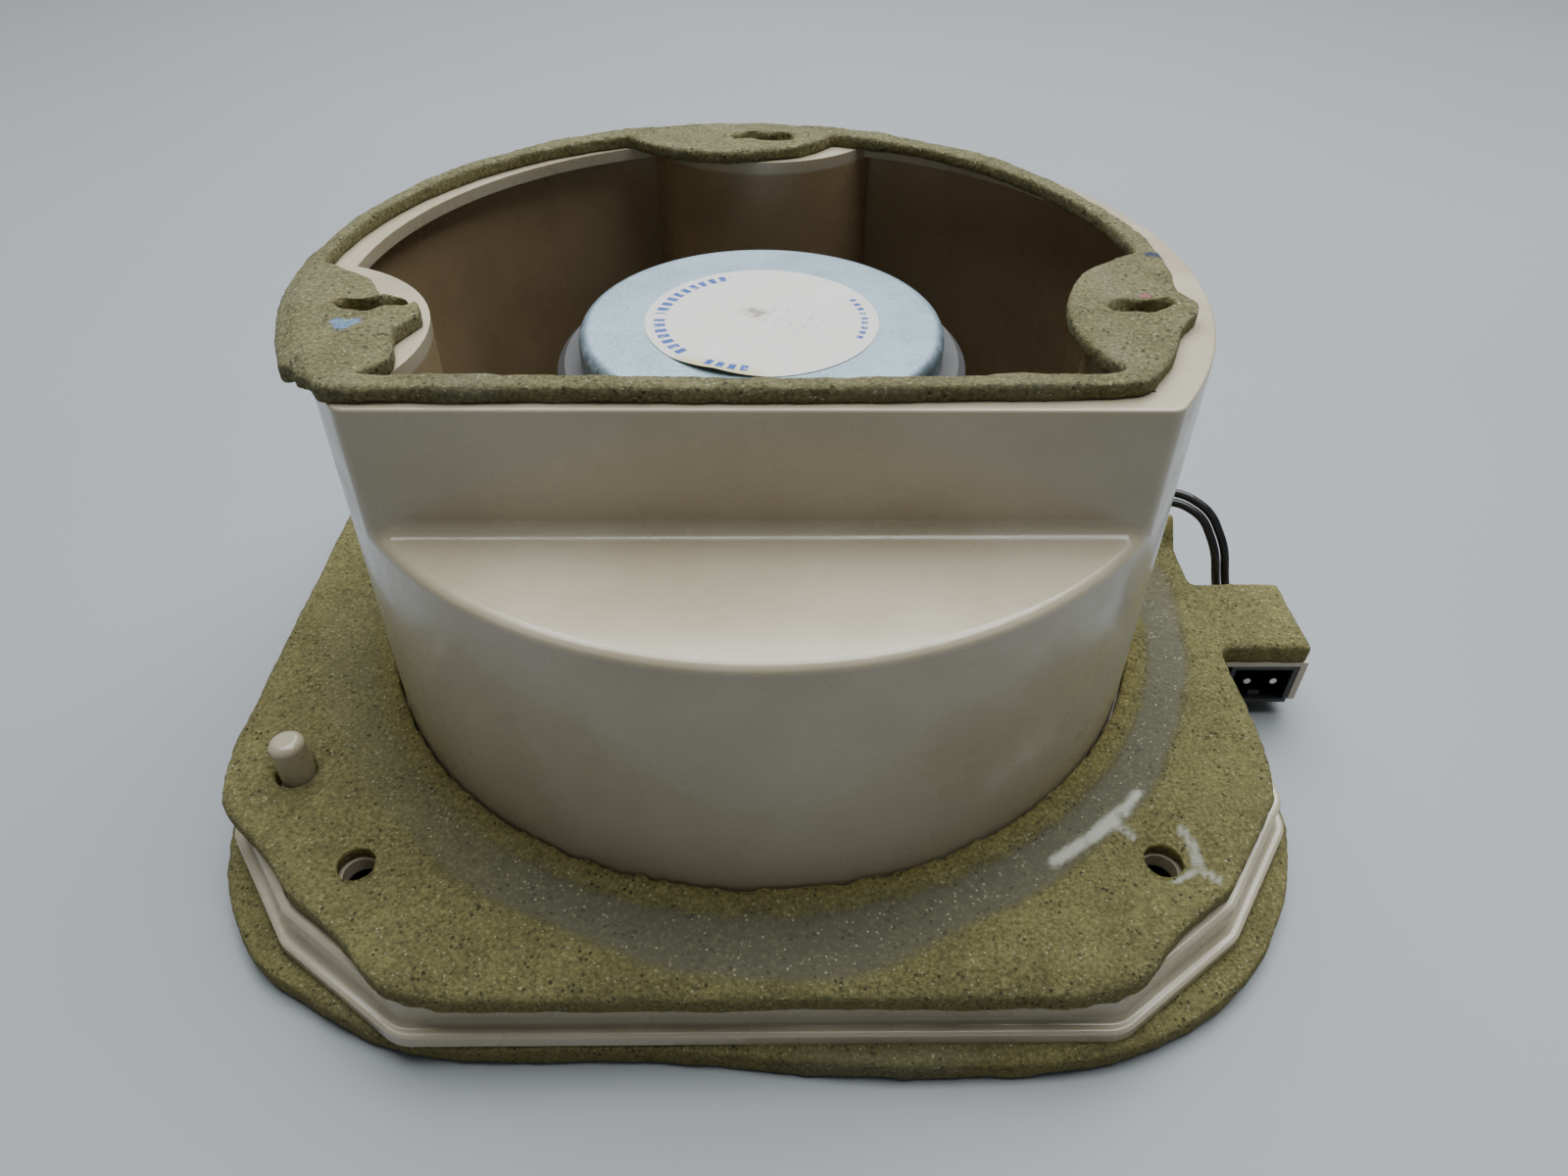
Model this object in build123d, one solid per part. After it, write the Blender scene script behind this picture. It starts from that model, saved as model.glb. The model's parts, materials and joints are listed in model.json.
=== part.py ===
"""Car loudspeaker unit: a moulded housing, three foam gaskets, a 165 mm driver and its plug socket.

Units are millimetres and +Z is up. The origin is the centre of the four flange holes, on the
flange plate's top face. The housing's drum stands up from the plate, and the driver hangs under
the plate with its cone facing down and its magnet up inside the drum.
"""
import os
from math import cos, pi, radians, sin

from build123d import *

# ---- driving dimensions -------------------------------------------------------------------
# Flange of the housing: a shallow tray, open below, with a foot round its lower edge.
foot_x = 210.0
foot_y = 205.0
foot_t = 3.0
foot_lip = 2.5
corner_cut = 43.0
corner_mid = 18.0
corner_fillet = 8.0
tray_height = 10.5
wall = 3.0
edge_fillet = 1.0
foot_edge_fillet = 0.8
foot_root_fillet = 1.2
flange_hole_r = 3.3
flange_hole_dx = 146.6
flange_hole_dy = 150.0
peg_r = 3.3
peg_x = -90.3
peg_y = -54.5
peg_top = 13.5

# Drum, its flat-sided upper part, and the lip and screw lobes at its rim.
drum_r = 82.0
ledge_z = 58.8
rim_z = 82.4
flat_y = -49.7
flat_corner_r = 3.0
ledge_fillet = 2.0
ledge_root_fillet = 3.0
rim_edge_fillet = 0.6
lip_width = 5.6
lip_t = 2.5
lobe_r = 30.5
lobe_centre_r = 91.0
lobe_wall = 2.5
lobe_bottom = 46.0
lobe_angles = (90.0, 196.6, 343.4)
rim_hole_pcr = 69.5
rim_hole_r = 2.0
rim_boss_r = 4.5
rim_boss_len = 22.0

# Foam gaskets.
front_gasket_t = 6.0
front_gasket_proud = 3.5
front_gasket_corner = 62.0
front_gasket_width = 13.0
flange_gasket_t = 5.0
flange_gasket_inset = 1.5
flange_gasket_corner = 20.0
rim_gasket_t = 3.0
rim_gasket_shift = (-5.0, -1.5)
rim_gasket_turn = 2.0
foam_hole_gap = 0.4
foam_slit_gap = 1.5
foam_gap = 1.5

# Driver: pressed basket, surround, spider, cone, coil and magnet.
basket_r = 82.0
basket_t = 1.0
basket_mouth_r = 67.0
opening_gap = 3.0
landing_r = 44.0
landing_width = 8.0
landing_z = 34.0
basket_back_r = 37.0
basket_back_z = 46.0
window_count = 6
window_angle = 12.0
window_span = 38.0
window_low = 7.0
window_high = 28.0
motor_hole_r = 20.0
front_plate_r = 33.0
front_plate_t = 5.0
ferrite_r = 40.0
ferrite_hole_r = 17.0
ferrite_t = 15.0
yoke_r = 35.3
yoke_t = 6.4
yoke_fillet = 2.2
ferrite_chamfer = 1.5
pole_r = 12.3
coil_gap = 0.4
former_t = 0.25
former_low = 23.0
winding_t = 0.4
winding_len = 10.0
label_r = 22.6
label_t = 0.3
cone_r = 57.0
cone_t = 0.8
cone_edge_z = 0.0
cone_neck_z = 25.0
cone_sag = 1.6
cone_lip = 3.0
dust_cap_r = 20.0
dust_cap_rise = 6.5
surround_t = 0.8
surround_lip = 5.5
roll_height = 4.2
spider_t = 0.5
spider_neck_z = 28.5
spider_waves = 4
spider_wave_height = 1.6
ring_t = 1.6
driver_screw_pcr = 77.0
driver_screw_r = 2.0
driver_screw_len = 13.0
driver_head_r = 3.2
driver_head_t = 1.8
driver_recess_len = 4.0
driver_recess_width = 0.9
driver_recess_depth = 1.2
driver_boss_r = 4.2
driver_boss_len = 14.0
driver_screw_count = 4
rivet_r = 2.0
rivet_head_r = 3.2
rivet_head_t = 1.2
rivet_depth = 3.0
rivet_pcr = 26.5
rivet_count = 4

# Terminal strip on the basket, at the window that faces the lead.
strip_angle = window_angle
strip_inner_r = 45.5
strip_len = 14.5
strip_width = 17.0
strip_t = 1.5
strip_rivet_r = 1.5
lug_spacing = 9.0
lug_len = 7.0
lug_width = 3.2
lug_t = 0.6
tinsel_r = 0.6
tinsel_drop = 4.0
tinsel_swing = 6.0
tinsel_rise = 5.0

# Plug socket at the flange's side, and the two-core lead to it.
socket_offset = 8.0
socket_y0 = -20.1
socket_len = 21.0
socket_width = 15.6
socket_height = 11.3
socket_wall = 1.0
key_width = 2.6
key_height = 1.8
socket_depth = 15.0
hood_wall = 1.5
hood_top_t = 1.2
hood_overhang = 1.9
hood_low = 1.0
pin_r = 0.8
pin_pitch = 6.0
pin_len = 14.0
pin_drop = 5.5
pin_offset = 0.5
tail_len = 3.0
tail_r = 1.0
core_r = 1.0
core_spacing = 2.35
core_entry_depth = 1.5
core_entry_gap = 0.15
lead_straight = 7.0
bend_share = 0.42
grommet_angle = strip_angle
grommet_z = 18.0
grommet_bore_r = 2.6
grommet_r = 4.2
grommet_flange_r = 6.0
grommet_flange_t = 1.5
fit_gap = 0.3
near = 0.01

# ---- heights that follow from the sizes above ----------------------------------------------
plate_low = -wall
foot_low = -tray_height
foot_high = foot_low + foot_t
floor_z = foot_low - front_gasket_t
basket_low = plate_low - basket_t
front_plate_low = basket_back_z + basket_t / 2
ferrite_low = front_plate_low + front_plate_t
yoke_low = ferrite_low + ferrite_t
yoke_high = yoke_low + yoke_t
former_in_r = pole_r + coil_gap
former_out_r = former_in_r + former_t
winding_r = former_out_r + winding_t
gap_r = winding_r + coil_gap
winding_mid = front_plate_low + front_plate_t / 2
opening_r = basket_mouth_r + opening_gap
socket_x = foot_x / 2 + socket_offset
socket_top = -hood_top_t
socket_low = socket_top - socket_height
pin_z = socket_top - pin_drop
hood_right = socket_x + socket_width / 2 + hood_wall


# ---- small helpers ----------------------------------------------------------------------------
def slab(face, low, high):
    """A flat outline made solid between two heights."""
    return extrude(Pos(0, 0, low) * face, amount=high - low)


def disc(radius, low, high, x=0.0, y=0.0):
    """An upright cylinder between two heights."""
    return slab(Pos(x, y) * Circle(radius), low, high)


def tube(outer, inner, low, high):
    """An upright tube between two heights."""
    return disc(outer, low, high) - disc(inner, low, high)


def edges_along(body, outline, height):
    """Edges of a body whose middles lie on an outline at a height."""
    wire = (Pos(0, 0, height) * outline).face().outer_wire()
    return [edge for edge in body.edges() if wire.distance_to(edge @ 0.5) < 2 * near]


def polar(radius, angle):
    """X and Y of a point at a radius and an angle in degrees."""
    return radius * cos(radians(angle)), radius * sin(radians(angle))


def spread(count, start=0.0):
    """Equal steps of angle round the axis."""
    return [start + 360.0 * step / count for step in range(count)]


def turned(profile):
    """A profile of radius and height turned into a solid round the Z axis."""
    return revolve(Plane.XZ * profile, Axis.Z)


def sheet_profile(path, thickness):
    """The closed outline of a thin sheet whose middle line is the path."""
    half = thickness / 2
    return make_face(offset(path, amount=half, side=Side.BOTH))


# ---- outlines that several pieces share -------------------------------------------------------
def flange_outline():
    """The foot's outer outline: a rectangle with two flats at each corner."""
    half_x = foot_x / 2
    half_y = foot_y / 2
    quarter = [
        (half_x, half_y - corner_cut),
        (half_x - corner_mid, half_y - corner_mid),
        (half_x - corner_cut, half_y),
    ]
    points = []
    points += quarter
    points += [(-x, y) for x, y in reversed(quarter)]
    points += [(-x, -y) for x, y in quarter]
    points += [(x, -y) for x, y in reversed(quarter)]
    face = make_face(Polyline(*points, close=True))
    return fillet(face.vertices(), corner_fillet)


def inset(face, amount):
    """An outline moved inwards by an even amount."""
    return offset(face, amount=-amount, kind=Kind.INTERSECTION)


def rim_outline():
    """The drum's upper outline: a circle with its front cut flat."""
    reach = 2 * drum_r
    keep = Pos(0, flat_y + reach) * Rectangle(2 * reach, 2 * reach)
    face = Circle(drum_r) & keep
    return fillet(face.vertices(), flat_corner_r)


def lobes():
    """The three rounded lobes that carry the rim's screw holes."""
    faces = [Pos(*polar(lobe_centre_r, angle)) * Circle(lobe_r) for angle in lobe_angles]
    return faces[0] + faces[1] + faces[2]


def rim_opening():
    """The open middle of the rim: what the lip and the lobes leave."""
    return inset(rim_outline(), lip_width) - lobes()


def rim_holes(radius):
    """Places of the rim's screw holes, as circles of the radius."""
    return [Pos(*polar(rim_hole_pcr, angle)) * Circle(radius) for angle in lobe_angles]


def flange_holes(radius):
    """Places of the four flange holes, as circles of the radius."""
    places = GridLocations(flange_hole_dx, flange_hole_dy, 2, 2)
    return [place * Circle(radius) for place in places]


def hood_outline(margin=0.0):
    """The hood over the plug socket, from the drum side of the flange's edge to its outer wall."""
    left = foot_x / 2 - foot_lip - 2 * wall
    right = hood_right - margin
    width = right - left
    depth = socket_len + hood_overhang - margin
    return Pos(left + width / 2, socket_y0 + depth / 2) * Rectangle(width, depth)


# ---- housing ------------------------------------------------------------------------------------
def make_flange():
    """Tray with a foot round its edge, and the hood over the socket, open to the front and back."""
    foot = flange_outline()
    skirt = inset(foot, foot_lip)
    inside = inset(skirt, wall)
    body = slab(skirt, foot_low, 0)
    body = fillet(body.faces().sort_by(Axis.Z)[-1].edges(), edge_fillet)
    foot_body = slab(foot, foot_low, foot_high)
    body += fillet(foot_body.faces().sort_by(Axis.Z)[-1].edges(), foot_edge_fillet)
    body = fillet(edges_along(body, skirt, foot_high), foot_root_fillet)
    side_x = foot_x / 2 - foot_lip
    room_width = hood_right - hood_wall - side_x
    room_depth = socket_len + hood_overhang
    room = Pos(side_x + room_width / 2, socket_y0 + room_depth / 2) * Rectangle(room_width, room_depth)
    body += slab(hood_outline(), socket_low + hood_low, 0) - slab(skirt, floor_z, foot_low)
    body -= slab(room, socket_low, socket_top)
    body -= slab(inside, foot_low, plate_low)
    return body


def make_drum():
    """Round drum with a ledge, a flat-fronted upper part, a lip and three lobes."""
    upper = rim_outline()
    body = disc(drum_r, 0, ledge_z)
    top_edge = body.edges().filter_by(GeomType.CIRCLE).sort_by(Axis.Z)[-1]
    body = fillet(top_edge, ledge_fillet)
    body += slab(upper, ledge_z - wall, rim_z)
    chord = Pos(0, flat_y) * Rectangle(2 * drum_r, near)
    body = fillet(edges_along(body, chord, ledge_z), ledge_root_fillet)
    body = fillet(body.faces().sort_by(Axis.Z)[-1].edges(), rim_edge_fillet)
    inner_r = drum_r - wall
    body -= disc(inner_r, 0, ledge_z - wall)
    body -= slab(inset(upper, wall), ledge_z - wall - wall, rim_z - lip_t)
    body -= slab(rim_opening(), rim_z - lip_t, rim_z)
    return body


def make_lobe_walls():
    """Curved walls under the lobes, and a screw boss inside each."""
    reach = slab(inset(rim_outline(), wall / 2), lobe_bottom, rim_z - lip_t / 2)
    walls = None
    for angle in lobe_angles:
        x, y = polar(lobe_centre_r, angle)
        ring = disc(lobe_r, lobe_bottom, rim_z, x, y) - disc(lobe_r - lobe_wall, lobe_bottom, rim_z, x, y)
        piece = ring & reach
        walls = piece if walls is None else walls + piece
        boss_x, boss_y = polar(rim_hole_pcr, angle)
        walls += disc(rim_boss_r, rim_z - rim_boss_len, rim_z, boss_x, boss_y)
    return walls


def make_driver_bosses():
    """Screw bosses on the plate inside the drum, merged into the drum's wall."""
    inside = disc(drum_r - wall / 2, plate_low, driver_boss_len)
    bosses = None
    for angle in spread(driver_screw_count, 45.0):
        x, y = polar(driver_screw_pcr, angle)
        boss = disc(driver_boss_r, plate_low, plate_low + driver_boss_len, x, y) & inside
        bosses = boss if bosses is None else bosses + boss
    return bosses


def make_peg():
    """Locating peg with a rounded top."""
    peg = disc(peg_r, plate_low, peg_top, peg_x, peg_y)
    top = peg.edges().filter_by(GeomType.CIRCLE).sort_by(Axis.Z)[-1]
    return fillet(top, peg_r / 2)


def make_housing():
    """The whole moulding, with its holes."""
    body = make_flange() + make_drum() + make_lobe_walls()
    body -= disc(opening_r, plate_low, 0)
    body += make_driver_bosses()
    body += make_peg()
    for hole in flange_holes(flange_hole_r):
        body -= slab(hole, plate_low, 0)
    for hole in rim_holes(rim_hole_r):
        body -= slab(hole, rim_z - rim_boss_len, rim_z)
    for angle in spread(driver_screw_count, 45.0):
        x, y = polar(driver_screw_pcr, angle)
        body -= disc(driver_screw_r, plate_low, plate_low + driver_screw_len, x, y)
    body -= grommet_frame() * extrude(Circle(grommet_r), amount=2 * wall, both=True)
    return body


# ---- gaskets --------------------------------------------------------------------------------------
def make_front_gasket():
    """Foam ring under the foot, notched round the plug socket."""
    half_x = foot_x / 2 + front_gasket_proud
    half_y = foot_y / 2 + front_gasket_proud
    outer = RectangleRounded(2 * half_x, 2 * half_y, front_gasket_corner)
    inner = RectangleRounded(
        2 * (half_x - front_gasket_width),
        2 * (half_y - front_gasket_width),
        front_gasket_corner - front_gasket_width,
    )
    notch_left = foot_x / 2 - foot_lip
    notch_depth = socket_len + hood_overhang + 2 * foam_gap
    notch_y = socket_y0 - foam_gap + notch_depth / 2
    notch = Pos(notch_left + half_x / 2, notch_y) * Rectangle(half_x, notch_depth)
    return slab(outer - inner - notch, floor_z, foot_low)


def make_flange_gasket():
    """Foam sheet on the flange and the hood, open round the drum, the peg and the holes."""
    skirt = inset(flange_outline(), foot_lip + flange_gasket_inset)
    round_corners = RectangleRounded(
        foot_x - 2 * (foot_lip + flange_gasket_inset),
        foot_y - 2 * (foot_lip + flange_gasket_inset),
        corner_cut + flange_gasket_corner / 2,
    )
    face = (skirt & round_corners) + hood_outline(flange_gasket_inset / 2)
    face -= Circle(drum_r + foam_gap)
    for hole in flange_holes(flange_hole_r + foam_hole_gap):
        face -= hole
    face -= Pos(peg_x, peg_y) * Circle(peg_r + foam_gap)
    return slab(face, 0, flange_gasket_t)


def make_rim_gasket():
    """Foam ring on the rim, glued a little to one side of it."""
    ring = rim_outline() - rim_opening()
    ring = Pos(*rim_gasket_shift) * Rot(0, 0, rim_gasket_turn) * ring
    for hole in rim_holes(rim_hole_r + foam_slit_gap):
        ring -= hole
    return slab(ring, rim_z, rim_z + rim_gasket_t)


# ---- driver: the fixed pieces ------------------------------------------------------------------
def basket_path():
    """Middle line of the basket's sheet, from its flange to its back."""
    flange_z = plate_low - basket_t / 2
    return FilletPolyline(
        (basket_r, flange_z),
        (basket_mouth_r + basket_t, flange_z),
        (landing_r + landing_width, landing_z),
        (landing_r, landing_z),
        (basket_back_r, basket_back_z),
        (motor_hole_r, basket_back_z),
        radius=2 * basket_t,
    )


def make_basket():
    """Pressed basket with windows in its cone, and holes for screws, rivets and the strip."""
    body = turned(sheet_profile(basket_path(), basket_t))
    for angle in spread(window_count, window_angle):
        low_half = basket_mouth_r * sin(radians(window_span / 2))
        high_half = (landing_r + landing_width) * sin(radians(window_span / 2))
        opening = make_face(
            Polyline(
                (-low_half, window_low),
                (low_half, window_low),
                (high_half, window_high),
                (-high_half, window_high),
                close=True,
            )
        )
        opening = fillet(opening.vertices(), 3 * basket_t)
        cutter = extrude(Plane.XZ * opening, amount=-drum_r)
        body -= Rot(0, 0, angle - 90.0) * cutter
    for angle in spread(driver_screw_count, 45.0):
        x, y = polar(driver_screw_pcr, angle)
        body -= disc(driver_screw_r + fit_gap, basket_low - wall, plate_low, x, y)
    for angle in spread(rivet_count, 45.0):
        x, y = polar(rivet_pcr, angle)
        body -= disc(rivet_r, landing_z, front_plate_low, x, y)
    x, y = polar(strip_rivet_pcr(), strip_angle)
    body -= disc(strip_rivet_r, landing_z - basket_t, landing_z + basket_t, x, y)
    return body


def make_basket_rivets():
    """Rivets that hold the basket to the magnet's front plate."""
    rivets = None
    for angle in spread(rivet_count, 45.0):
        x, y = polar(rivet_pcr, angle)
        under = basket_back_z - basket_t / 2
        head = disc(rivet_head_r, under - rivet_head_t, under, x, y)
        head = fillet(head.faces().sort_by(Axis.Z)[0].edges(), rivet_head_t / 2)
        rivet = head + disc(rivet_r, under, front_plate_low + rivet_depth, x, y)
        rivets = rivet if rivets is None else rivets + rivet
    return rivets


def make_front_plate():
    """Magnet's front plate, with the coil's gap through it and holes for the rivets."""
    plate = tube(front_plate_r, gap_r, front_plate_low, ferrite_low)
    for angle in spread(rivet_count, 45.0):
        x, y = polar(rivet_pcr, angle)
        plate -= disc(rivet_r, front_plate_low, front_plate_low + rivet_depth, x, y)
    return plate


def make_ferrite_magnet():
    """Ferrite ring with chamfered edges."""
    ring = tube(ferrite_r, ferrite_hole_r, ferrite_low, yoke_low)
    outer = ring.edges().filter_by(GeomType.CIRCLE).filter_by(lambda edge: edge.radius > yoke_r)
    return chamfer(outer, ferrite_chamfer)


def make_back_yoke():
    """Back plate and pole in one piece."""
    plate = disc(yoke_r, yoke_low, yoke_high)
    plate = fillet(plate.faces().sort_by(Axis.Z)[-1].edges(), yoke_fillet)
    return plate + disc(pole_r, front_plate_low, yoke_low)


def make_yoke_label():
    """Round paper label on the back plate."""
    return disc(label_r, yoke_high, yoke_high + label_t)


def strip_rivet_pcr():
    """Radius of the strip's rivet: the middle of the basket's flat landing."""
    return landing_r + landing_width / 2


def strip_frame():
    """Frame at the axis, turned to the strip's angle, on the landing's top face."""
    return Rot(0, 0, strip_angle) * Pos(0, 0, landing_z + basket_t / 2)


def make_terminal_strip():
    """Fibre board that carries the two lugs."""
    board = Pos(strip_inner_r + strip_len / 2, 0) * Rectangle(strip_len, strip_width)
    board -= Pos(strip_rivet_pcr(), 0) * Circle(strip_rivet_r)
    for side in (-1, 1):
        board -= Pos(lug_mid_r(), side * lug_spacing / 2) * Rectangle(lug_t, lug_width)
    return strip_frame() * extrude(board, amount=strip_t)


def lug_mid_r():
    """Radius of the lugs' slots in the strip."""
    return strip_inner_r + strip_len - lug_len / 2


def make_terminal_lugs():
    """Two tinned lugs that stand through the strip."""
    lugs = None
    for side in (-1, 1):
        face = Pos(lug_mid_r(), side * lug_spacing / 2) * Rectangle(lug_t, lug_width)
        lug = strip_frame() * Pos(0, 0, -lug_len / 3) * extrude(face, amount=lug_len)
        lugs = lug if lugs is None else lugs + lug
    return lugs


def make_terminal_rivet():
    """Rivet that holds the strip to the basket's landing."""
    shank = Circle(strip_rivet_r)
    head = Circle(2 * strip_rivet_r)
    rivet = extrude(shank, amount=strip_t)
    rivet += extrude(shank, amount=-basket_t)
    rivet += Pos(0, 0, strip_t) * extrude(head, amount=rivet_head_t / 2)
    return strip_frame() * Pos(strip_rivet_pcr(), 0) * rivet


def make_driver_screws():
    """Cross-head screws from below, through the basket's flange into the plate's bosses."""
    screws = None
    for angle in spread(driver_screw_count, 45.0):
        x, y = polar(driver_screw_pcr, angle)
        shank = disc(driver_screw_r, basket_low, plate_low + driver_screw_len - fit_gap, x, y)
        head = disc(driver_head_r, basket_low - driver_head_t, basket_low, x, y)
        head = fillet(head.faces().sort_by(Axis.Z)[0].edges(), driver_head_t / 2)
        screw = shank + head
        for turn in (0.0, 90.0):
            slot = Pos(x, y) * Rot(0, 0, angle + turn) * Rectangle(driver_recess_len, driver_recess_width)
            low = basket_low - driver_head_t
            screw -= slab(slot, low, low + driver_recess_depth)
        screws = screw if screws is None else screws + screw
    return screws


def make_surround_ring():
    """Card ring that clamps the surround's outer lip."""
    lip_low = basket_low - surround_t
    inner_r = basket_mouth_r + surround_t + 2 * fit_gap
    return tube(basket_mouth_r + surround_lip, inner_r, lip_low - ring_t, lip_low)


# ---- driver: the moving pieces, and the flexible ones between ------------------------------------
def cone_path():
    """Middle line of the cone's paper, from its outer edge to its neck."""
    outer = (cone_r, cone_edge_z)
    inner_edge = (cone_r - cone_lip, cone_edge_z)
    neck = (former_out_r + cone_t / 2, cone_neck_z)
    mid = ((inner_edge[0] + neck[0]) / 2 - cone_sag, (inner_edge[1] + neck[1]) / 2 - cone_sag)
    lip = Line(outer, inner_edge)
    flare = ThreePointArc(inner_edge, mid, neck)
    return lip + flare


def make_cone():
    """Paper cone, glued to the former at its neck."""
    return turned(sheet_profile(cone_path(), cone_t)) - disc(former_out_r, 0, 2 * cone_neck_z)


def cone_height(radius):
    """Height of the cone's middle line at a radius, near enough for what sits on it."""
    share = (cone_r - cone_lip - radius) / (cone_r - cone_lip - former_out_r)
    return cone_edge_z + share * (cone_neck_z - cone_edge_z)


def make_dust_cap():
    """Domed cap over the coil's open end, on the cone's front."""
    edge_z = cone_height(dust_cap_r) - cone_sag - 2 * cone_t
    arc = ThreePointArc(
        (-dust_cap_r, edge_z),
        (0, edge_z - dust_cap_rise),
        (dust_cap_r, edge_z),
    )
    shell = sheet_profile(arc, cone_t)
    reach = 4 * dust_cap_r
    half = shell & (Pos(reach / 2, 0) * Rectangle(reach, reach))
    return turned(half)


def make_former():
    """Thin tube that carries the coil."""
    return tube(former_out_r, former_in_r, former_low, winding_mid + winding_len / 2)


def make_winding():
    """The coil's copper, as one layer-thick tube."""
    half = winding_len / 2
    return tube(winding_r, former_out_r, winding_mid - half, winding_mid + half)


def make_surround():
    """Half-roll surround from the basket's flange to the cone's edge."""
    outer_z = basket_low - surround_t / 2
    inner_z = cone_edge_z - cone_t / 2 - surround_t / 2
    roll_outer = basket_mouth_r + fit_gap
    roll_inner = cone_r + fit_gap
    crest = ((roll_outer + roll_inner) / 2, outer_z - roll_height)
    outer_lip = Line((basket_mouth_r + surround_lip, outer_z), (roll_outer, outer_z))
    roll = ThreePointArc((roll_outer, outer_z), crest, (roll_inner, outer_z))
    rise = Line((roll_inner, outer_z), (roll_inner, inner_z))
    inner_lip = Line((roll_inner, inner_z), (cone_r - cone_lip, inner_z))
    return turned(sheet_profile(outer_lip + roll + rise + inner_lip, surround_t))


def make_spider():
    """Corrugated disc from the basket's landing to the former."""
    outer_z = landing_z - basket_t / 2 - spider_t / 2
    outer_r = landing_r + landing_width / 2
    start = (landing_r, outer_z)
    neck = former_out_r + 2 * spider_t
    count = 2 * spider_waves
    points = [(outer_r, outer_z), start]
    for step in range(1, count):
        share = step / count
        side = 1 if step % 2 else -1
        radius = landing_r + share * (neck - landing_r)
        height = outer_z + share * (spider_neck_z - outer_z) + side * spider_wave_height / 2
        points.append((radius, height))
    points.append((neck, spider_neck_z))
    path = FilletPolyline(*points, radius=2 * spider_t)
    collar = tube(neck + spider_t, former_out_r, spider_neck_z - spider_t, spider_neck_z + spider_t)
    return turned(sheet_profile(path, spider_t)) + collar


def cord_path(points):
    """Straight runs joined by tangent arcs, each as large as its two runs allow."""
    radii = []
    for before, here, after in zip(points, points[1:], points[2:]):
        turn = (here - before).get_angle(after - here)
        shorter = min((here - before).length, (after - here).length)
        radii.append(bend_share * shorter / tan_half(turn))
    return FilletPolyline(*points, radius=radii), radii


def tan_half(turn):
    """Tangent of half an angle given in degrees."""
    return sin(radians(turn / 2)) / cos(radians(turn / 2))


def cord(points, radius):
    """A round cord along the points, with its route's smallest radius."""
    path, radii = cord_path(points)
    section = Plane(origin=path @ 0, z_dir=path % 0) * Circle(radius)
    return sweep(section, path=path), min(radii), path.length


def make_tinsel_leads():
    """Two braided leads from the lugs through a window to the back of the cone."""
    leads = None
    for side in (-1, 1):
        y = side * lug_spacing / 2
        start_z = landing_z + basket_t / 2 - lug_len / 3
        end_r = landing_r / 2 + lug_spacing
        end_z = cone_height(end_r) + cone_t
        points = [
            (lug_mid_r(), y, start_z),
            (lug_mid_r(), y, start_z - tinsel_drop),
            (lug_mid_r() - tinsel_swing, y, start_z - tinsel_drop - tinsel_swing),
            (end_r + tinsel_rise, y, end_z + tinsel_drop),
            (end_r, y, end_z),
        ]
        turned_points = [Vector(*point).rotate(Axis.Z, strip_angle) for point in points]
        lead, _, _ = cord(turned_points, tinsel_r)
        leads = lead if leads is None else leads + lead
    return leads


# ---- socket, pins, grommet and the two-core lead ---------------------------------------------------
def socket_block(width, height, y0, y1, top):
    """A block centred on the socket, between two Y values, hanging from a height."""
    face = Pos(socket_x, (y0 + y1) / 2) * Rectangle(width, y1 - y0)
    return slab(face, top - height, top)


def make_connector_shell():
    """Black socket insert, open at its front end, with a key rib on its floor."""
    y1 = socket_y0 + socket_len - fit_gap
    body = socket_block(socket_width - 2 * fit_gap, socket_height, socket_y0, y1, socket_top)
    inside_width = socket_width - 2 * fit_gap - 2 * socket_wall
    inside_height = socket_height - 2 * socket_wall
    mouth_end = socket_y0 + socket_depth
    body -= socket_block(inside_width, inside_height, socket_y0, mouth_end, socket_top - socket_wall)
    key_top = socket_top - socket_height + socket_wall + key_height
    body += socket_block(key_width, socket_wall / 2 + key_height, socket_y0 + socket_wall, mouth_end, key_top)
    for x in pin_places():
        body -= pin_rod(x, tail_r, mouth_end, mouth_end + tail_len)
    for x in core_places():
        body -= pin_rod(x, core_r + core_entry_gap, y1 - core_entry_depth, y1)
    return body


def pin_places():
    """X of the two contact pins."""
    middle = socket_x + pin_offset
    return middle - pin_pitch / 2, middle + pin_pitch / 2


def core_places():
    """X of the lead's two cores where they enter the socket's back."""
    middle = sum(pin_places()) / 2
    return middle - core_spacing / 2, middle + core_spacing / 2


def pin_rod(x, radius, y0, y1):
    """A rod along Y between two values."""
    return Pos(x, y1, pin_z) * extrude(Plane.XZ * Circle(radius), amount=y1 - y0)


def make_connector_pins():
    """Two round contact pins, with thicker tails held in the socket's solid back."""
    mouth_end = socket_y0 + socket_depth
    pins = None
    for x in pin_places():
        pin = pin_rod(x, pin_r, mouth_end - pin_len, mouth_end)
        pin += pin_rod(x, tail_r, mouth_end, mouth_end + tail_len)
        pins = pin if pins is None else pins + pin
    return pins


def grommet_frame():
    """Frame in the drum's wall where the lead leaves it: Z points outwards."""
    x, y = polar(drum_r, grommet_angle)
    return Plane(origin=(x, y, grommet_z), z_dir=(x, y, 0))


def make_lead_grommet():
    """Rubber grommet, waisted to the wall."""
    body = extrude(Circle(grommet_flange_r), amount=grommet_flange_t)
    body += Pos(0, 0, -wall - fit_gap) * extrude(Circle(grommet_r), amount=wall + fit_gap)
    body += Pos(0, 0, -wall - fit_gap) * extrude(Circle(grommet_flange_r), amount=-grommet_flange_t)
    body -= extrude(Circle(grommet_bore_r), amount=2 * wall, both=True)
    return grommet_frame() * body


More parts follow.
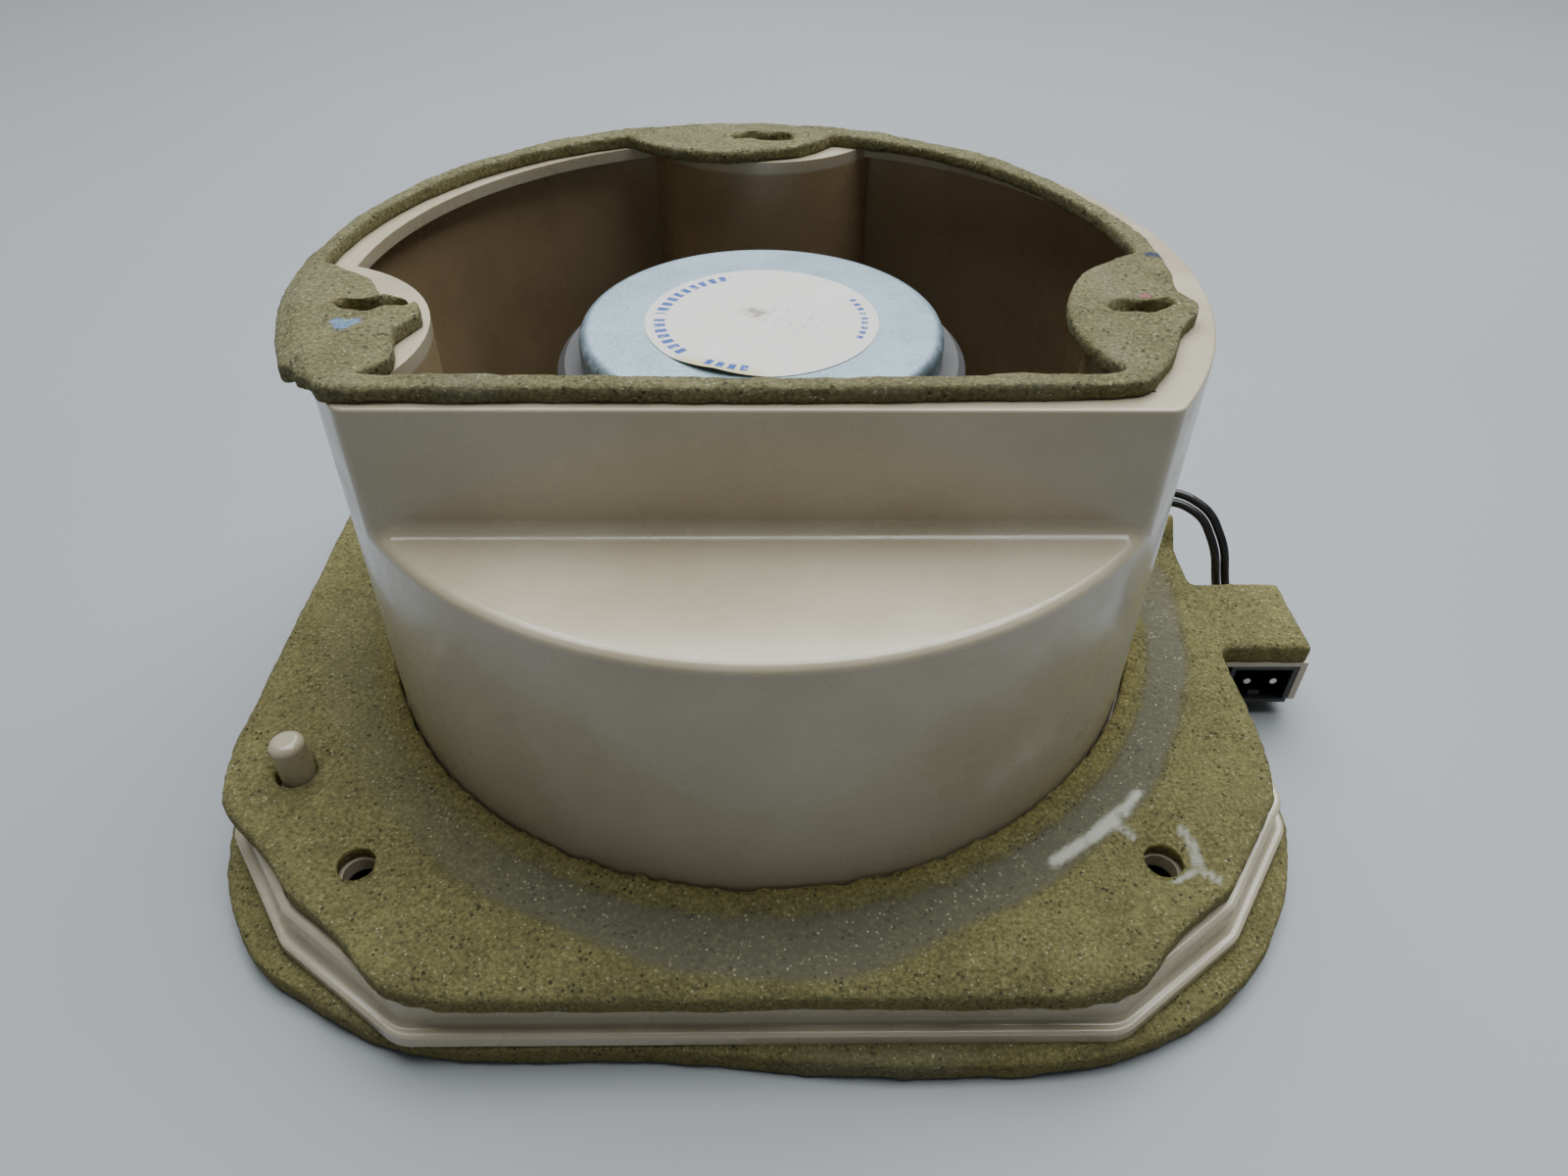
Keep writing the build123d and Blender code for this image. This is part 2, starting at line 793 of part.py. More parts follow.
def lead_route():
    """Hand-placed points of the lead, from the terminal strip to the back of the socket."""
    top = landing_z + basket_t / 2 + strip_t
    inside = [(lug_mid_r() + 1.6, top + 3.2), (66.0, top + 2.0), (71.5, 29.0)]
    inside += [(72.5, grommet_z), (90.0, grommet_z)]
    points = [(*polar(radius, grommet_angle), height) for radius, height in inside]
    outside = [(-14.5, 15.0, 20.5), (-8.5, 11.5, 18.0), (-5.0, 7.0, 11.0), (-3.5, 5.4, 3.0)]
    points += [(socket_x + along, across, height) for along, across, height in outside]
    entry_x = sum(core_places()) / 2
    entry_y = socket_y0 + socket_len - fit_gap - core_entry_depth / 2
    points += [(entry_x, entry_y + lead_straight, pin_z), (entry_x, entry_y, pin_z)]
    return [Vector(*point) for point in points]


def core_points(side):
    """The lead's route moved sideways by half the cores' spacing."""
    route = lead_route()
    across = Vector(0, -0.8, 0.6)
    points = []
    for index, spot in enumerate(route):
        before = route[max(index - 1, 0)]
        after = route[min(index + 1, len(route) - 1)]
        sideways = (after - before).cross(across).normalized()
        points.append(spot + sideways * (side * core_spacing / 2))
    return points


def make_lead_core(side, name):
    """One core of the lead, with its facts printed."""
    body, tightest, length = cord(core_points(side), core_r)
    share = body.volume / (length * pi * core_r**2)
    print(f"{name}: length {length:.1f}, tightest radius {tightest:.1f}, volume share {share:.4f}")
    return body


# ---- write every node --------------------------------------------------------------------------------
def main():
    """Build every piece and write one STEP file for each."""
    nodes = {
        "housing": make_housing(),
        "front_gasket": make_front_gasket(),
        "flange_gasket": make_flange_gasket(),
        "rim_gasket": make_rim_gasket(),
        "basket": make_basket(),
        "basket_rivets": make_basket_rivets(),
        "front_plate": make_front_plate(),
        "ferrite_magnet": make_ferrite_magnet(),
        "back_yoke": make_back_yoke(),
        "yoke_label": make_yoke_label(),
        "voice_coil_former": make_former(),
        "voice_coil_winding": make_winding(),
        "spider": make_spider(),
        "cone": make_cone(),
        "dust_cap": make_dust_cap(),
        "surround": make_surround(),
        "surround_ring": make_surround_ring(),
        "terminal_strip": make_terminal_strip(),
        "terminal_lugs": make_terminal_lugs(),
        "terminal_rivet": make_terminal_rivet(),
        "tinsel_leads": make_tinsel_leads(),
        "driver_screws": make_driver_screws(),
        "connector_shell": make_connector_shell(),
        "connector_pins": make_connector_pins(),
        "lead_grommet": make_lead_grommet(),
        "lead_positive": make_lead_core(1, "lead_positive"),
        "lead_negative": make_lead_core(-1, "lead_negative"),
    }
    os.makedirs("parts", exist_ok=True)
    for name, shape in nodes.items():
        export_step(shape, f"parts/{name}.step")
        print(f"{name}: {shape.volume:.0f} mm3")


main()
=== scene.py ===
# %% [markdown]
# # A car loudspeaker in its moulded housing
# This lesson dresses a loudspeaker unit for rendering. The solids come from a CAD model, and
# every visible surface gets a finish: cream plastic, olive foam, zinc, paper and rubber.
# The soft pieces (three foam gaskets, surround, spider, tinsel leads and label) are modelled anew.
# Lengths are metres, +Z is up, and the origin is the centre of the four flange holes.

import json
import math

import bmesh
import bpy
import numpy as np
from mathutils import Matrix, Vector, noise


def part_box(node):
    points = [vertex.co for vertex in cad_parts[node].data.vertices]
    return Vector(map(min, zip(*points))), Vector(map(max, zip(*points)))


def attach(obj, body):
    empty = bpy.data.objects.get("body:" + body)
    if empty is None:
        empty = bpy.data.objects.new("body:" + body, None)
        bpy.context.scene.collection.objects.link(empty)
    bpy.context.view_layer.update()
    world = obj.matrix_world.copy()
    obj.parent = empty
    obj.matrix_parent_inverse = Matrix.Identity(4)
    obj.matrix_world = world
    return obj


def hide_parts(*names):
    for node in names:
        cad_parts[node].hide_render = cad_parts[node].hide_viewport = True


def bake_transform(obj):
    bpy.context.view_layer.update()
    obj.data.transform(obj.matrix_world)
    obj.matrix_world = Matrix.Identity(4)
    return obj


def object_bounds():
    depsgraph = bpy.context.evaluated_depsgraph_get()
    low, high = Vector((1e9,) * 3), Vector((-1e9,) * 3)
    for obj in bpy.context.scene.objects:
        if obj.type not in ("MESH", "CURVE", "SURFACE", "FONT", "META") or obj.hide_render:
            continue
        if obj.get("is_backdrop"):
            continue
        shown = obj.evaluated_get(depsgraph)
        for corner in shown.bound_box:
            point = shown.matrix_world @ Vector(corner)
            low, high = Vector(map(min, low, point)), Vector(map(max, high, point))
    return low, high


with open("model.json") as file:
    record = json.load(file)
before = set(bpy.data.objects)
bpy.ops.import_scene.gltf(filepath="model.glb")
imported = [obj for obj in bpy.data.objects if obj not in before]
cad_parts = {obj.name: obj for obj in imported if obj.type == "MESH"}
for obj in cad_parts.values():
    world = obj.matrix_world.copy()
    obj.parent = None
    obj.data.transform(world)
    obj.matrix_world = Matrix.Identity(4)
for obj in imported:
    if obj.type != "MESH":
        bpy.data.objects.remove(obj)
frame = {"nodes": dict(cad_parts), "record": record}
first_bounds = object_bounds()
nodes = frame["nodes"]
MM = 0.001
print("CAD nodes:", len(nodes))

# %% [markdown]
# ## Sizes read from the model
# The foam's marks follow the drum, the peg and the screw holes, so their places are taken from the
# CAD boxes and from the record's mounts instead of being typed in again.

# %% Places from the model
mounts = {mount["name"]: mount for mount in frame["record"]["mounts"]}
flange_foam_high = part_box("flange_gasket")[1]
rim_foam_low, rim_foam_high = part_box("rim_gasket")
front_foam_low, front_foam_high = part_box("front_gasket")
basket_low, basket_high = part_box("basket")
drum_r = basket_high.x - 0.5 * MM
peg = Vector(mounts["locating_peg"]["pos_m"])
peg_r = mounts["locating_peg"]["dims"]["r_mm"] * MM
rim_screws = [Vector(mount["pos_m"]) for name, mount in mounts.items() if name.startswith("rim_screw")]
hole_dims = mounts["flange_holes"]["dims"]
hole_x = hole_dims["spacing_x_mm"] / 2 * MM
hole_y = hole_dims["spacing_y_mm"] / 2 * MM
ledge_z = 58.8 * MM
flat_y = -49.7 * MM
print("drum radius", round(drum_r, 4), "peg", tuple(round(v, 4) for v in peg))

# %% [markdown]
# ## Helpers for materials
# A finish is built from a few kinds of node: noise for stains, cells for pores and speckle, ranges that
# turn a value into a mask, and bump for relief. Each helper adds one node and returns its output, so
# that a material reads from top to bottom. All patterns read object coordinates, which are metres here.


# %% Node helpers
def begin(name, metallic=0.0, roughness=0.5):
    """A new material with its node tree and its shader."""
    material = bpy.data.materials.new(name)
    material.use_nodes = True
    tree = material.node_tree
    shader = tree.nodes["Principled BSDF"]
    shader.inputs["Metallic"].default_value = metallic
    shader.inputs["Roughness"].default_value = roughness
    return material, tree, shader


def feed(tree, socket, value):
    """Links an output to a socket, or sets the socket's own value."""
    if isinstance(value, bpy.types.NodeSocket):
        tree.links.new(value, socket)
    elif isinstance(value, tuple):
        socket.default_value = (*value, 1.0)
    else:
        socket.default_value = value


def place(tree):
    """Object coordinates."""
    return tree.nodes.new("ShaderNodeTexCoord").outputs["Object"]


def split(tree, vector):
    """X, Y and Z of a vector."""
    node = tree.nodes.new("ShaderNodeSeparateXYZ")
    feed(tree, node.inputs[0], vector)
    return node.outputs[0], node.outputs[1], node.outputs[2]


def sums(tree, operation, first, second=0.0):
    """One step of arithmetic."""
    node = tree.nodes.new("ShaderNodeMath")
    node.operation = operation
    feed(tree, node.inputs[0], first)
    feed(tree, node.inputs[1], second)
    return node.outputs[0]


def times(tree, first, second):
    """Two values multiplied."""
    return sums(tree, "MULTIPLY", first, second)


def radius(tree, x, y, centre=(0.0, 0.0)):
    """Distance from an upright axis."""
    across = sums(tree, "SUBTRACT", x, centre[0])
    along = sums(tree, "SUBTRACT", y, centre[1])
    squares = sums(tree, "ADD", times(tree, across, across), times(tree, along, along))
    return sums(tree, "SQRT", squares)


def ranged(tree, value, low, high, start=0.0, end=1.0):
    """A value moved from one range to another, clamped and smooth."""
    node = tree.nodes.new("ShaderNodeMapRange")
    node.interpolation_type = "SMOOTHSTEP"
    feed(tree, node.inputs["Value"], value)
    node.inputs["From Min"].default_value = low
    node.inputs["From Max"].default_value = high
    node.inputs["To Min"].default_value = start
    node.inputs["To Max"].default_value = end
    return node.outputs["Result"]


def cloud(tree, vector, size, detail=3.0, rough=0.55):
    """Noise whose blotches are about the size."""
    node = tree.nodes.new("ShaderNodeTexNoise")
    feed(tree, node.inputs["Vector"], vector)
    node.inputs["Scale"].default_value = 1.0 / size
    node.inputs["Detail"].default_value = detail
    node.inputs["Roughness"].default_value = rough
    return node.outputs["Fac"]


def cells(tree, vector, size):
    """Cells of about the size."""
    node = tree.nodes.new("ShaderNodeTexVoronoi")
    feed(tree, node.inputs["Vector"], vector)
    node.inputs["Scale"].default_value = 1.0 / size
    return node.outputs["Distance"]


def blend_colours(tree, amount, first, second):
    """Two colours mixed by an amount."""
    node = tree.nodes.new("ShaderNodeMix")
    node.data_type = "RGBA"
    feed(tree, node.inputs[0], amount)
    feed(tree, node.inputs[6], first)
    feed(tree, node.inputs[7], second)
    return node.outputs[2]


def relief(tree, height, depth, strength=1.0, under=None):
    """Bump from a height of 0 to 1, as deep as the depth, on top of another bump if there is one."""
    node = tree.nodes.new("ShaderNodeBump")
    node.inputs["Strength"].default_value = strength
    node.inputs["Distance"].default_value = depth
    feed(tree, node.inputs["Height"], height)
    if under is not None:
        feed(tree, node.inputs["Normal"], under)
    return node.outputs["Normal"]


def attribute(tree, name):
    """Red, green and blue of a colour stored on the mesh."""
    node = tree.nodes.new("ShaderNodeAttribute")
    node.attribute_name = name
    apart = tree.nodes.new("ShaderNodeSeparateColor")
    feed(tree, apart.inputs[0], node.outputs["Color"])
    return apart.outputs[0], apart.outputs[1], apart.outputs[2]


def attribute_colour(tree, name):
    """A colour stored on the mesh."""
    node = tree.nodes.new("ShaderNodeAttribute")
    node.attribute_name = name
    return node.outputs["Color"]


def mottle(tree, shader, size, detail, first, second):
    """A base colour of two tones in blotches of the size."""
    tones = cloud(tree, place(tree), size, detail)
    feed(tree, shader.inputs["Base Color"], blend_colours(tree, tones, first, second))


def dull(tree, shader, size, detail, low, high):
    """A roughness that wanders between two values."""
    blotches = cloud(tree, place(tree), size, detail)
    feed(tree, shader.inputs["Roughness"], ranged(tree, blotches, 0.3, 0.7, low, high))


def grain_bump(tree, shader, size, detail, depth, strength):
    """A fine grain in relief."""
    grains = cloud(tree, place(tree), size, detail)
    feed(tree, shader.inputs["Normal"], relief(tree, grains, depth, strength))


print("helpers ready")

# %% [markdown]
# ## Cream plastic
# The housing is one injection moulding in a cream plastic that lets a little light into its skin. It is
# glossy, with a faint ripple. Inside the drum the base colour turns dark brown: this is painted shade, for
# the dim light that reaches in there only after many bounces. The inside is found from the distance to the
# axis.

# %% Housing plastic
plastic, tree, shader = begin("housing_plastic")
here = place(tree)
x, y, z = split(tree, here)
from_axis = radius(tree, x, y)
within = ranged(tree, from_axis, drum_r - 2.3 * MM, drum_r - 2.6 * MM)
below_lip = ranged(tree, z, 80.2 * MM, 79.2 * MM)
above_plate = ranged(tree, z, -0.2 * MM, 0.6 * MM)
before_flat = ranged(tree, y, flat_y + 1.6 * MM, flat_y + 1.2 * MM)
above_ledge = ranged(tree, z, ledge_z - 2.2 * MM, ledge_z - 1.6 * MM)
outside_flat = times(tree, before_flat, above_ledge)
# The inside of the drum, where the base colour gets painted shade.
inside_painted_shade = times(tree, times(tree, within, below_lip), above_plate)
inside_painted_shade = times(tree, inside_painted_shade, sums(tree, "SUBTRACT", 1.0, outside_flat))
stain = cloud(tree, here, 28 * MM, 4.0)
fine = cloud(tree, here, 3 * MM, 5.0)
cream = blend_colours(tree, ranged(tree, stain, 0.3, 0.7), (0.43, 0.375, 0.255), (0.49, 0.435, 0.315))
cream = blend_colours(tree, ranged(tree, fine, 0.62, 0.8, 0.0, 0.18), cream, (0.40, 0.34, 0.24))
# Painted shade: a dark brown base colour for the inside of the drum.
painted_shade_brown = blend_colours(tree, ranged(tree, stain, 0.3, 0.7), (0.28, 0.20, 0.105), (0.35, 0.255, 0.14))
feed(tree, shader.inputs["Base Color"], blend_colours(tree, inside_painted_shade, cream, painted_shade_brown))
feed(tree, shader.inputs["Roughness"], ranged(tree, cloud(tree, here, 9 * MM, 4.0), 0.3, 0.75, 0.22, 0.42))
shader.inputs["Subsurface Weight"].default_value = 0.10
shader.inputs["Coat Weight"].default_value = 0.5
shader.inputs["Coat Roughness"].default_value = 0.16
shader.inputs["Subsurface Radius"].default_value = (1.0, 0.7, 0.4)
shader.inputs["Subsurface Scale"].default_value = 2.5 * MM
ripple = relief(tree, cloud(tree, here, 14 * MM, 2.0), 0.25 * MM, 0.35)
feed(tree, shader.inputs["Normal"], relief(tree, cloud(tree, here, 0.9 * MM, 2.0), 0.02 * MM, 0.4, ripple))
print("plastic nodes:", len(tree.nodes))

# %% [markdown]
# ## Olive foam
# The gaskets are cut from open-cell foam. Old foam is khaki, yellower where it is fresh at the cut edges
# and grey where it was pressed. Its skin is a net of pores with crumbs between them, and the crumbs are
# painted bright, as painted highlights where they catch the light. Two sizes of cells give the pores, and a
# colour attribute painted on each piece says where it is pressed (red), worn to white (green) or yellow at
# an edge (blue). A few spots of paint are stored the same way.


# %% Foam material
def make_foam(name, light, dark, edge, pressed):
    """Porous foam in four colours."""
    material, tree, shader = begin(name, roughness=0.9)
    here = place(tree)
    red, green, blue = attribute(tree, "marks")
    tone = cloud(tree, here, 14 * MM, 6.0, 0.7)
    body = blend_colours(tree, ranged(tree, tone, 0.34, 0.66), dark, light)
    body = blend_colours(tree, blue, body, edge)
    body = blend_colours(tree, red, body, pressed)
    body = blend_colours(tree, attribute_colour(tree, "ink_amount"), body, attribute_colour(tree, "ink"))
    open_skin = sums(tree, "SUBTRACT", 1.0, times(tree, red, 0.6))
    grain = cloud(tree, here, 0.75 * MM, 6.0, 0.75)
    shade_dark = times(tree, ranged(tree, grain, 0.54, 0.36), open_skin)
    dim = tuple(0.42 * part for part in dark)
    body = blend_colours(tree, times(tree, shade_dark, 0.75), body, dim)
    shade_light = times(tree, ranged(tree, grain, 0.52, 0.68), open_skin)
    bright = tuple(min(1.0, 1.9 * part) for part in light)
    body = blend_colours(tree, times(tree, shade_light, 0.55), body, bright)
    pore_places = ranged(tree, cells(tree, here, 1.3 * MM), 0.30, 0.15)
    pore = times(tree, pore_places, ranged(tree, cloud(tree, here, 4 * MM, 3.0), 0.46, 0.58))
    pore = times(tree, pore, open_skin)
    body = blend_colours(tree, times(tree, pore, 0.8), body, tuple(0.18 * part for part in dark))
    shifted = tree.nodes.new("ShaderNodeVectorMath")
    shifted.inputs[1].default_value = (0.013, 0.029, 0.017)
    feed(tree, shifted.inputs[0], here)
    # Crumbs: small specks made brighter and glossier, painted highlights where the foam's crumbs catch the
    # light.
    crumbs = ranged(tree, cells(tree, shifted.outputs[0], 1.1 * MM), 0.26, 0.12)
    crumb_glints = times(tree, crumbs, ranged(tree, cloud(tree, here, 2.6 * MM, 3.0), 0.48, 0.6))
    body = blend_colours(tree, times(tree, crumb_glints, 0.6), body, (0.60, 0.58, 0.38))
    body = blend_colours(tree, green, body, (0.55, 0.56, 0.47))
    feed(tree, shader.inputs["Base Color"], body)
    rough = ranged(tree, red, 0.0, 1.0, 0.92, 0.68)
    feed(tree, shader.inputs["Roughness"], sums(tree, "SUBTRACT", rough, times(tree, crumb_glints, 0.45)))
    lumps = relief(tree, times(tree, cloud(tree, here, 2.4 * MM, 3.0), open_skin), 0.9 * MM, 0.6)
    pits = relief(tree, times(tree, pore, -1.0), 0.5 * MM, 0.8, lumps)
    height = times(tree, grain, open_skin)
    feed(tree, shader.inputs["Normal"], relief(tree, height, 0.8 * MM, 1.0, pits))
    return material


foam = make_foam(
    "foam_olive",
    light=(0.245, 0.225, 0.085),
    dark=(0.175, 0.158, 0.058),
    edge=(0.235, 0.195, 0.050),
    pressed=(0.100, 0.097, 0.064),
)
rim_foam_material = make_foam(
    "foam_rim",
    light=(0.245, 0.230, 0.110),
    dark=(0.165, 0.152, 0.068),
    edge=(0.205, 0.180, 0.062),
    pressed=(0.145, 0.145, 0.095),
)
print("foam materials:", foam.name, rim_foam_material.name)

# %% [markdown]
# ## Foam pieces
# Each gasket starts as a copy of its CAD solid. A voxel remesh gives it an even skin, smoothing rounds
# its cut edges, and then the skin is pushed about: a soft swell, a fine pitting, and the dents and tears
# that the real foam got from its neighbours. The pushing works on all points at once with arrays.


# %% Foam helpers
def foam_copy(node, name, voxel, rounds):
    """A finely and evenly meshed copy of a CAD node, with rounded edges."""
    work = bmesh.new()
    work.from_mesh(nodes[node].data)
    bmesh.ops.remove_doubles(work, verts=work.verts, dist=0.01 * MM)
    mesh = bpy.data.meshes.new(name)
    work.to_mesh(mesh)
    work.free()
    rough = bpy.data.objects.new(name + "_rough", mesh)
    bpy.context.scene.collection.objects.link(rough)
    even = rough.modifiers.new("even", "REMESH")
    even.mode = "VOXEL"
    even.voxel_size = voxel
    graph = bpy.context.evaluated_depsgraph_get()
    work = bmesh.new()
    work.from_object(rough, graph)
    bpy.data.objects.remove(rough)
    for _ in range(rounds):
        bmesh.ops.smooth_vert(
            work, verts=work.verts, factor=0.5, use_axis_x=True, use_axis_y=True, use_axis_z=True
        )
    bmesh.ops.recalc_face_normals(work, faces=work.faces)
    piece_mesh = bpy.data.meshes.new(name)
    work.to_mesh(piece_mesh)
    work.free()
    piece = bpy.data.objects.new(name, piece_mesh)
    bpy.context.scene.collection.objects.link(piece)
    return piece


def points_of(piece):
    """Places of the piece's points, and the directions they face."""
    mesh = piece.data
    spots = np.zeros(len(mesh.vertices) * 3)
    facing = np.zeros(len(mesh.vertices) * 3)
    mesh.vertices.foreach_get("co", spots)
    mesh.vertices.foreach_get("normal", facing)
    return spots.reshape(-1, 3), facing.reshape(-1, 3)


def swell(spots, size, seed):
    """Smooth noise from -1 to 1 at every point."""
    shift = Vector((seed * 7.31, seed * 3.17, seed * 5.53))
    return np.array([noise.noise(Vector(spot) / size + shift) for spot in spots])


def step(values, low, high):
    """0 below low, 1 above high and smooth between; low may be the larger."""
    share = np.clip((values - low) / (high - low), 0.0, 1.0)
    return share * share * (3.0 - 2.0 * share)


def near_spot(spots, x, y, reach):
    """1 at an upright line and 0 from the reach outwards."""
    away = np.hypot(spots[:, 0] - x, spots[:, 1] - y)
    return step(away, reach, 0.0)


def store_colour(mesh, name, values):
    """A colour for every point of a mesh."""
    layer = mesh.color_attributes.new(name, "FLOAT_COLOR", "POINT")
    colours = np.ones((len(values), 4))
    colours[:, :3] = np.clip(values, 0.0, 1.0)
    layer.data.foreach_set("color", colours.ravel())


def along_line(spots, start, end, width):
    """1 on a line between two places given in millimetres, and 0 from the width outwards."""
    first = np.array(start) * MM
    run = np.array(end) * MM - first
    share = np.clip(((spots[:, :2] - first) @ run) / (run @ run), 0.0, 1.0)
    gap = np.linalg.norm(spots[:, :2] - first - share[:, None] * run, axis=1)
    return step(gap, width * MM, 0.4 * width * MM)


def finish_foam(piece, spots, marks, material, node, paint=()):
    mesh = piece.data
    mesh.vertices.foreach_set("co", spots.ravel())
    store_colour(mesh, "marks", marks)
    ink = np.zeros((len(spots), 3))
    amount = np.zeros((len(spots), 3))
    for (x, y, z), reach, colour in paint:
        away = np.linalg.norm(spots - np.array((x, y, z)), axis=1)
        here = step(away, reach, 0.45 * reach)
        ink[here > 0.0] = colour
        amount = np.maximum(amount, here[:, None])
    store_colour(mesh, "ink", ink)
    store_colour(mesh, "ink_amount", amount)
    mesh.polygons.foreach_set("use_smooth", np.ones(len(mesh.polygons), dtype=bool))
    mesh.materials.append(material)
    mesh.update()
    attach(piece, "root")
    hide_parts(node)
    print(piece.name, "points", len(spots), "faces", len(mesh.polygons))


print("foam helpers ready")

# %% [markdown]
# ## Foam on the flange
# This sheet is glued to the flange. A ring round the drum is pressed smooth and grey by the panel's
# edge, most of all at the front and on the right. Close to the drum the foam is squeezed up in a line of
# crumbs. Near the right front hole it is rubbed white, and behind the socket its edge has curled up.

# %% Flange foam
ring_in = drum_r + 4.2 * MM
ring_out = drum_r + 15.0 * MM
ring_depth = 0.9 * MM
piece = foam_copy("flange_gasket", "flange_foam", 0.9 * MM, 3)
spots, facing = points_of(piece)
top = step(spots[:, 2], flange_foam_high.z - 1.6 * MM, flange_foam_high.z - 0.4 * MM)
away = np.hypot(spots[:, 0], spots[:, 1])
angle = np.degrees(np.arctan2(spots[:, 1], spots[:, 0]))
wave = swell(spots, 14 * MM, 1)
ripple = swell(spots, 5 * MM, 2)
pit = swell(spots, 1.9 * MM, 3)
side_turn = step(np.abs(angle + 52.0), 95.0, 40.0)
faint_left = 0.35 * step(np.abs(angle + 140.0), 55.0, 20.0)
band = step(away + 0.8 * MM * ripple, ring_in, ring_in + 1.6 * MM)
band *= step(away + 1.2 * MM * wave, ring_out, ring_out - 2.4 * MM)
pressed = band * np.clip(side_turn + faint_left, 0.0, 1.0) * top
lip = step(away, drum_r + 4.6 * MM, drum_r + 1.5 * MM)
outward = np.stack([spots[:, 0] / away, spots[:, 1] / away, np.zeros(len(away))], axis=1)
spots += facing * (0.30 * MM * wave + 0.22 * MM * ripple + 0.16 * MM * pit)[:, None]
spots[:, 2] -= ring_depth * pressed
spots[:, 2] += lip * top * (1.0 * MM + 0.6 * MM * ripple + 0.7 * MM * pit)
spots -= outward * (lip * 1.25 * MM)[:, None]
print("pressed points:", int((pressed > 0.5).sum()))

# %% [markdown]
# The peg's hole is drawn tight round the peg. Behind the socket the edge curls up, and beside the right
# front hole the skin is rubbed white along a few short strokes, given here in millimetres.

# %% Peg, curl and worn strokes
peg_grip = 1.1 * MM
curl_x = 100.5 * MM
curl_y = 21 * MM
curl_rise = 6.0 * MM
worn_strokes = (
    ((53.0, -76.0), (61.0, -70.6), 1.5),
    ((61.0, -70.6), (68.5, -64.5), 1.8),
    ((68.5, -64.5), (72.5, -60.0), 1.2),
    ((65.8, -67.6), (68.8, -70.6), 0.9),
    ((78.0, -69.0), (79.6, -73.0), 0.9),
    ((79.6, -73.0), (79.0, -77.5), 1.1),
    ((79.0, -77.5), (74.0, -79.6), 0.9),
    ((78.6, -77.0), (81.5, -80.8), 0.8),
)
peg_away = np.hypot(spots[:, 0] - peg.x, spots[:, 1] - peg.y)
pull = step(peg_away, peg_r + 6 * MM, peg_r + 1.5 * MM) * peg_grip / np.maximum(peg_away, MM)
spots[:, 0] -= (spots[:, 0] - peg.x) * pull
spots[:, 1] -= (spots[:, 1] - peg.y) * pull
curl = near_spot(spots, curl_x, curl_y, 6.5 * MM)
spots[:, 2] += curl * top * curl_rise
worn = np.zeros(len(spots))
for start, end, width in worn_strokes:
    worn = np.maximum(worn, along_line(spots, start, end, width))
worn *= top * step(ripple + 0.5 * pit, -0.75, -0.15) * 0.85
yellow = 0.8 * (1.0 - top) + 0.75 * lip + 0.5 * curl
print("worn points:", int((worn > 0.5).sum()))

# %% [markdown]
# Round each flange hole the sheet is sunk. Its left edge has spread over the foot, and its front edge has
# spread forward and droops a little.

# %% Holes and spread edges
hole_reach = 11.5 * MM
hole_sunk = 2.6 * MM
left_spread = 4.2 * MM
front_spread = 3.4 * MM
front_droop = 1.6 * MM
for side_x in (-hole_x, hole_x):
    for side_y in (-hole_y, hole_y):
        spots[:, 2] -= hole_sunk * near_spot(spots, side_x, side_y, hole_reach) * top
left_reach = step(spots[:, 0], -84 * MM, -98 * MM) * step(spots[:, 1], -82 * MM, -62 * MM)
peg_side = step(spots[:, 0], peg.x - 9 * MM, peg.x - 3 * MM)
left_reach *= 1.0 - near_spot(spots, peg.x, peg.y, 13 * MM) * peg_side
spots[:, 0] -= left_spread * left_reach * step(spots[:, 1], 100 * MM, 60 * MM)
front_reach = step(spots[:, 1], -86 * MM, -97 * MM) * step(np.abs(spots[:, 0]), 82 * MM, 60 * MM)
spots[:, 1] -= front_spread * front_reach
spots[:, 2] -= front_droop * step(spots[:, 1], -97 * MM, -102 * MM)
finish_foam(piece, spots, np.stack([pressed * 0.9, worn, yellow], axis=1), foam, "flange_gasket")

# %% [markdown]
# ## Foam on the rim
# This ring is cut to the rim's outline and stuck on a little to one side, so it hangs over the plastic at
# the front left and leaves a bare cream band elsewhere. Over each screw hole the foam was cut with a
# knife: the round CAD hole is pulled long in one direction and closed in the other, with raised lips.

# %% Rim foam
hole_r = 3.6 * MM
slit_reach = 11.5 * MM
lip_rise = 0.5 * MM
left_lobe_pull = 5.5 * MM
right_lobe_pull = 4.5 * MM
left_edge_pull = 1.2 * MM
right_edge_pull = 2.0 * MM
droop_share = 0.45
piece = foam_copy("rim_gasket", "rim_foam", 0.65 * MM, 3)
spots, facing = points_of(piece)
top = step(spots[:, 2], rim_foam_high.z - 1.2 * MM, rim_foam_high.z - 0.3 * MM)
wave = swell(spots, 12 * MM, 4)
ripple = swell(spots, 4.5 * MM, 5)
pit = swell(spots, 1.6 * MM, 6)
spots += facing * (0.35 * MM * wave + 0.25 * MM * ripple + 0.14 * MM * pit)[:, None]
slit_shade = np.zeros(len(spots))
for screw in rim_screws:
    offset_x = spots[:, 0] - screw.x
    offset_y = spots[:, 1] - screw.y
    distance = np.hypot(offset_x, offset_y)
    reach = step(distance, slit_reach, hole_r)
    spots[:, 0] += offset_x * reach * 0.95
    spots[:, 1] -= offset_y * reach * (0.42 + 0.25 * ripple)
    spots[:, 1] += reach * (0.9 * MM * pit + 0.8 * MM * ripple) * step(distance, 6.5 * MM, hole_r)
    raised = step(distance, 7.0 * MM, hole_r) * top
    spots[:, 2] += raised * (lip_rise + 0.4 * MM * ripple)
    slit_shade = np.maximum(slit_shade, step(distance, 5.0 * MM, 3.4 * MM))
front = step(spots[:, 1], -38 * MM, -44.5 * MM)
outer_front = step(spots[:, 1], -45.5 * MM, -50.5 * MM)
left_end = step(spots[:, 0], 20 * MM, -62 * MM)
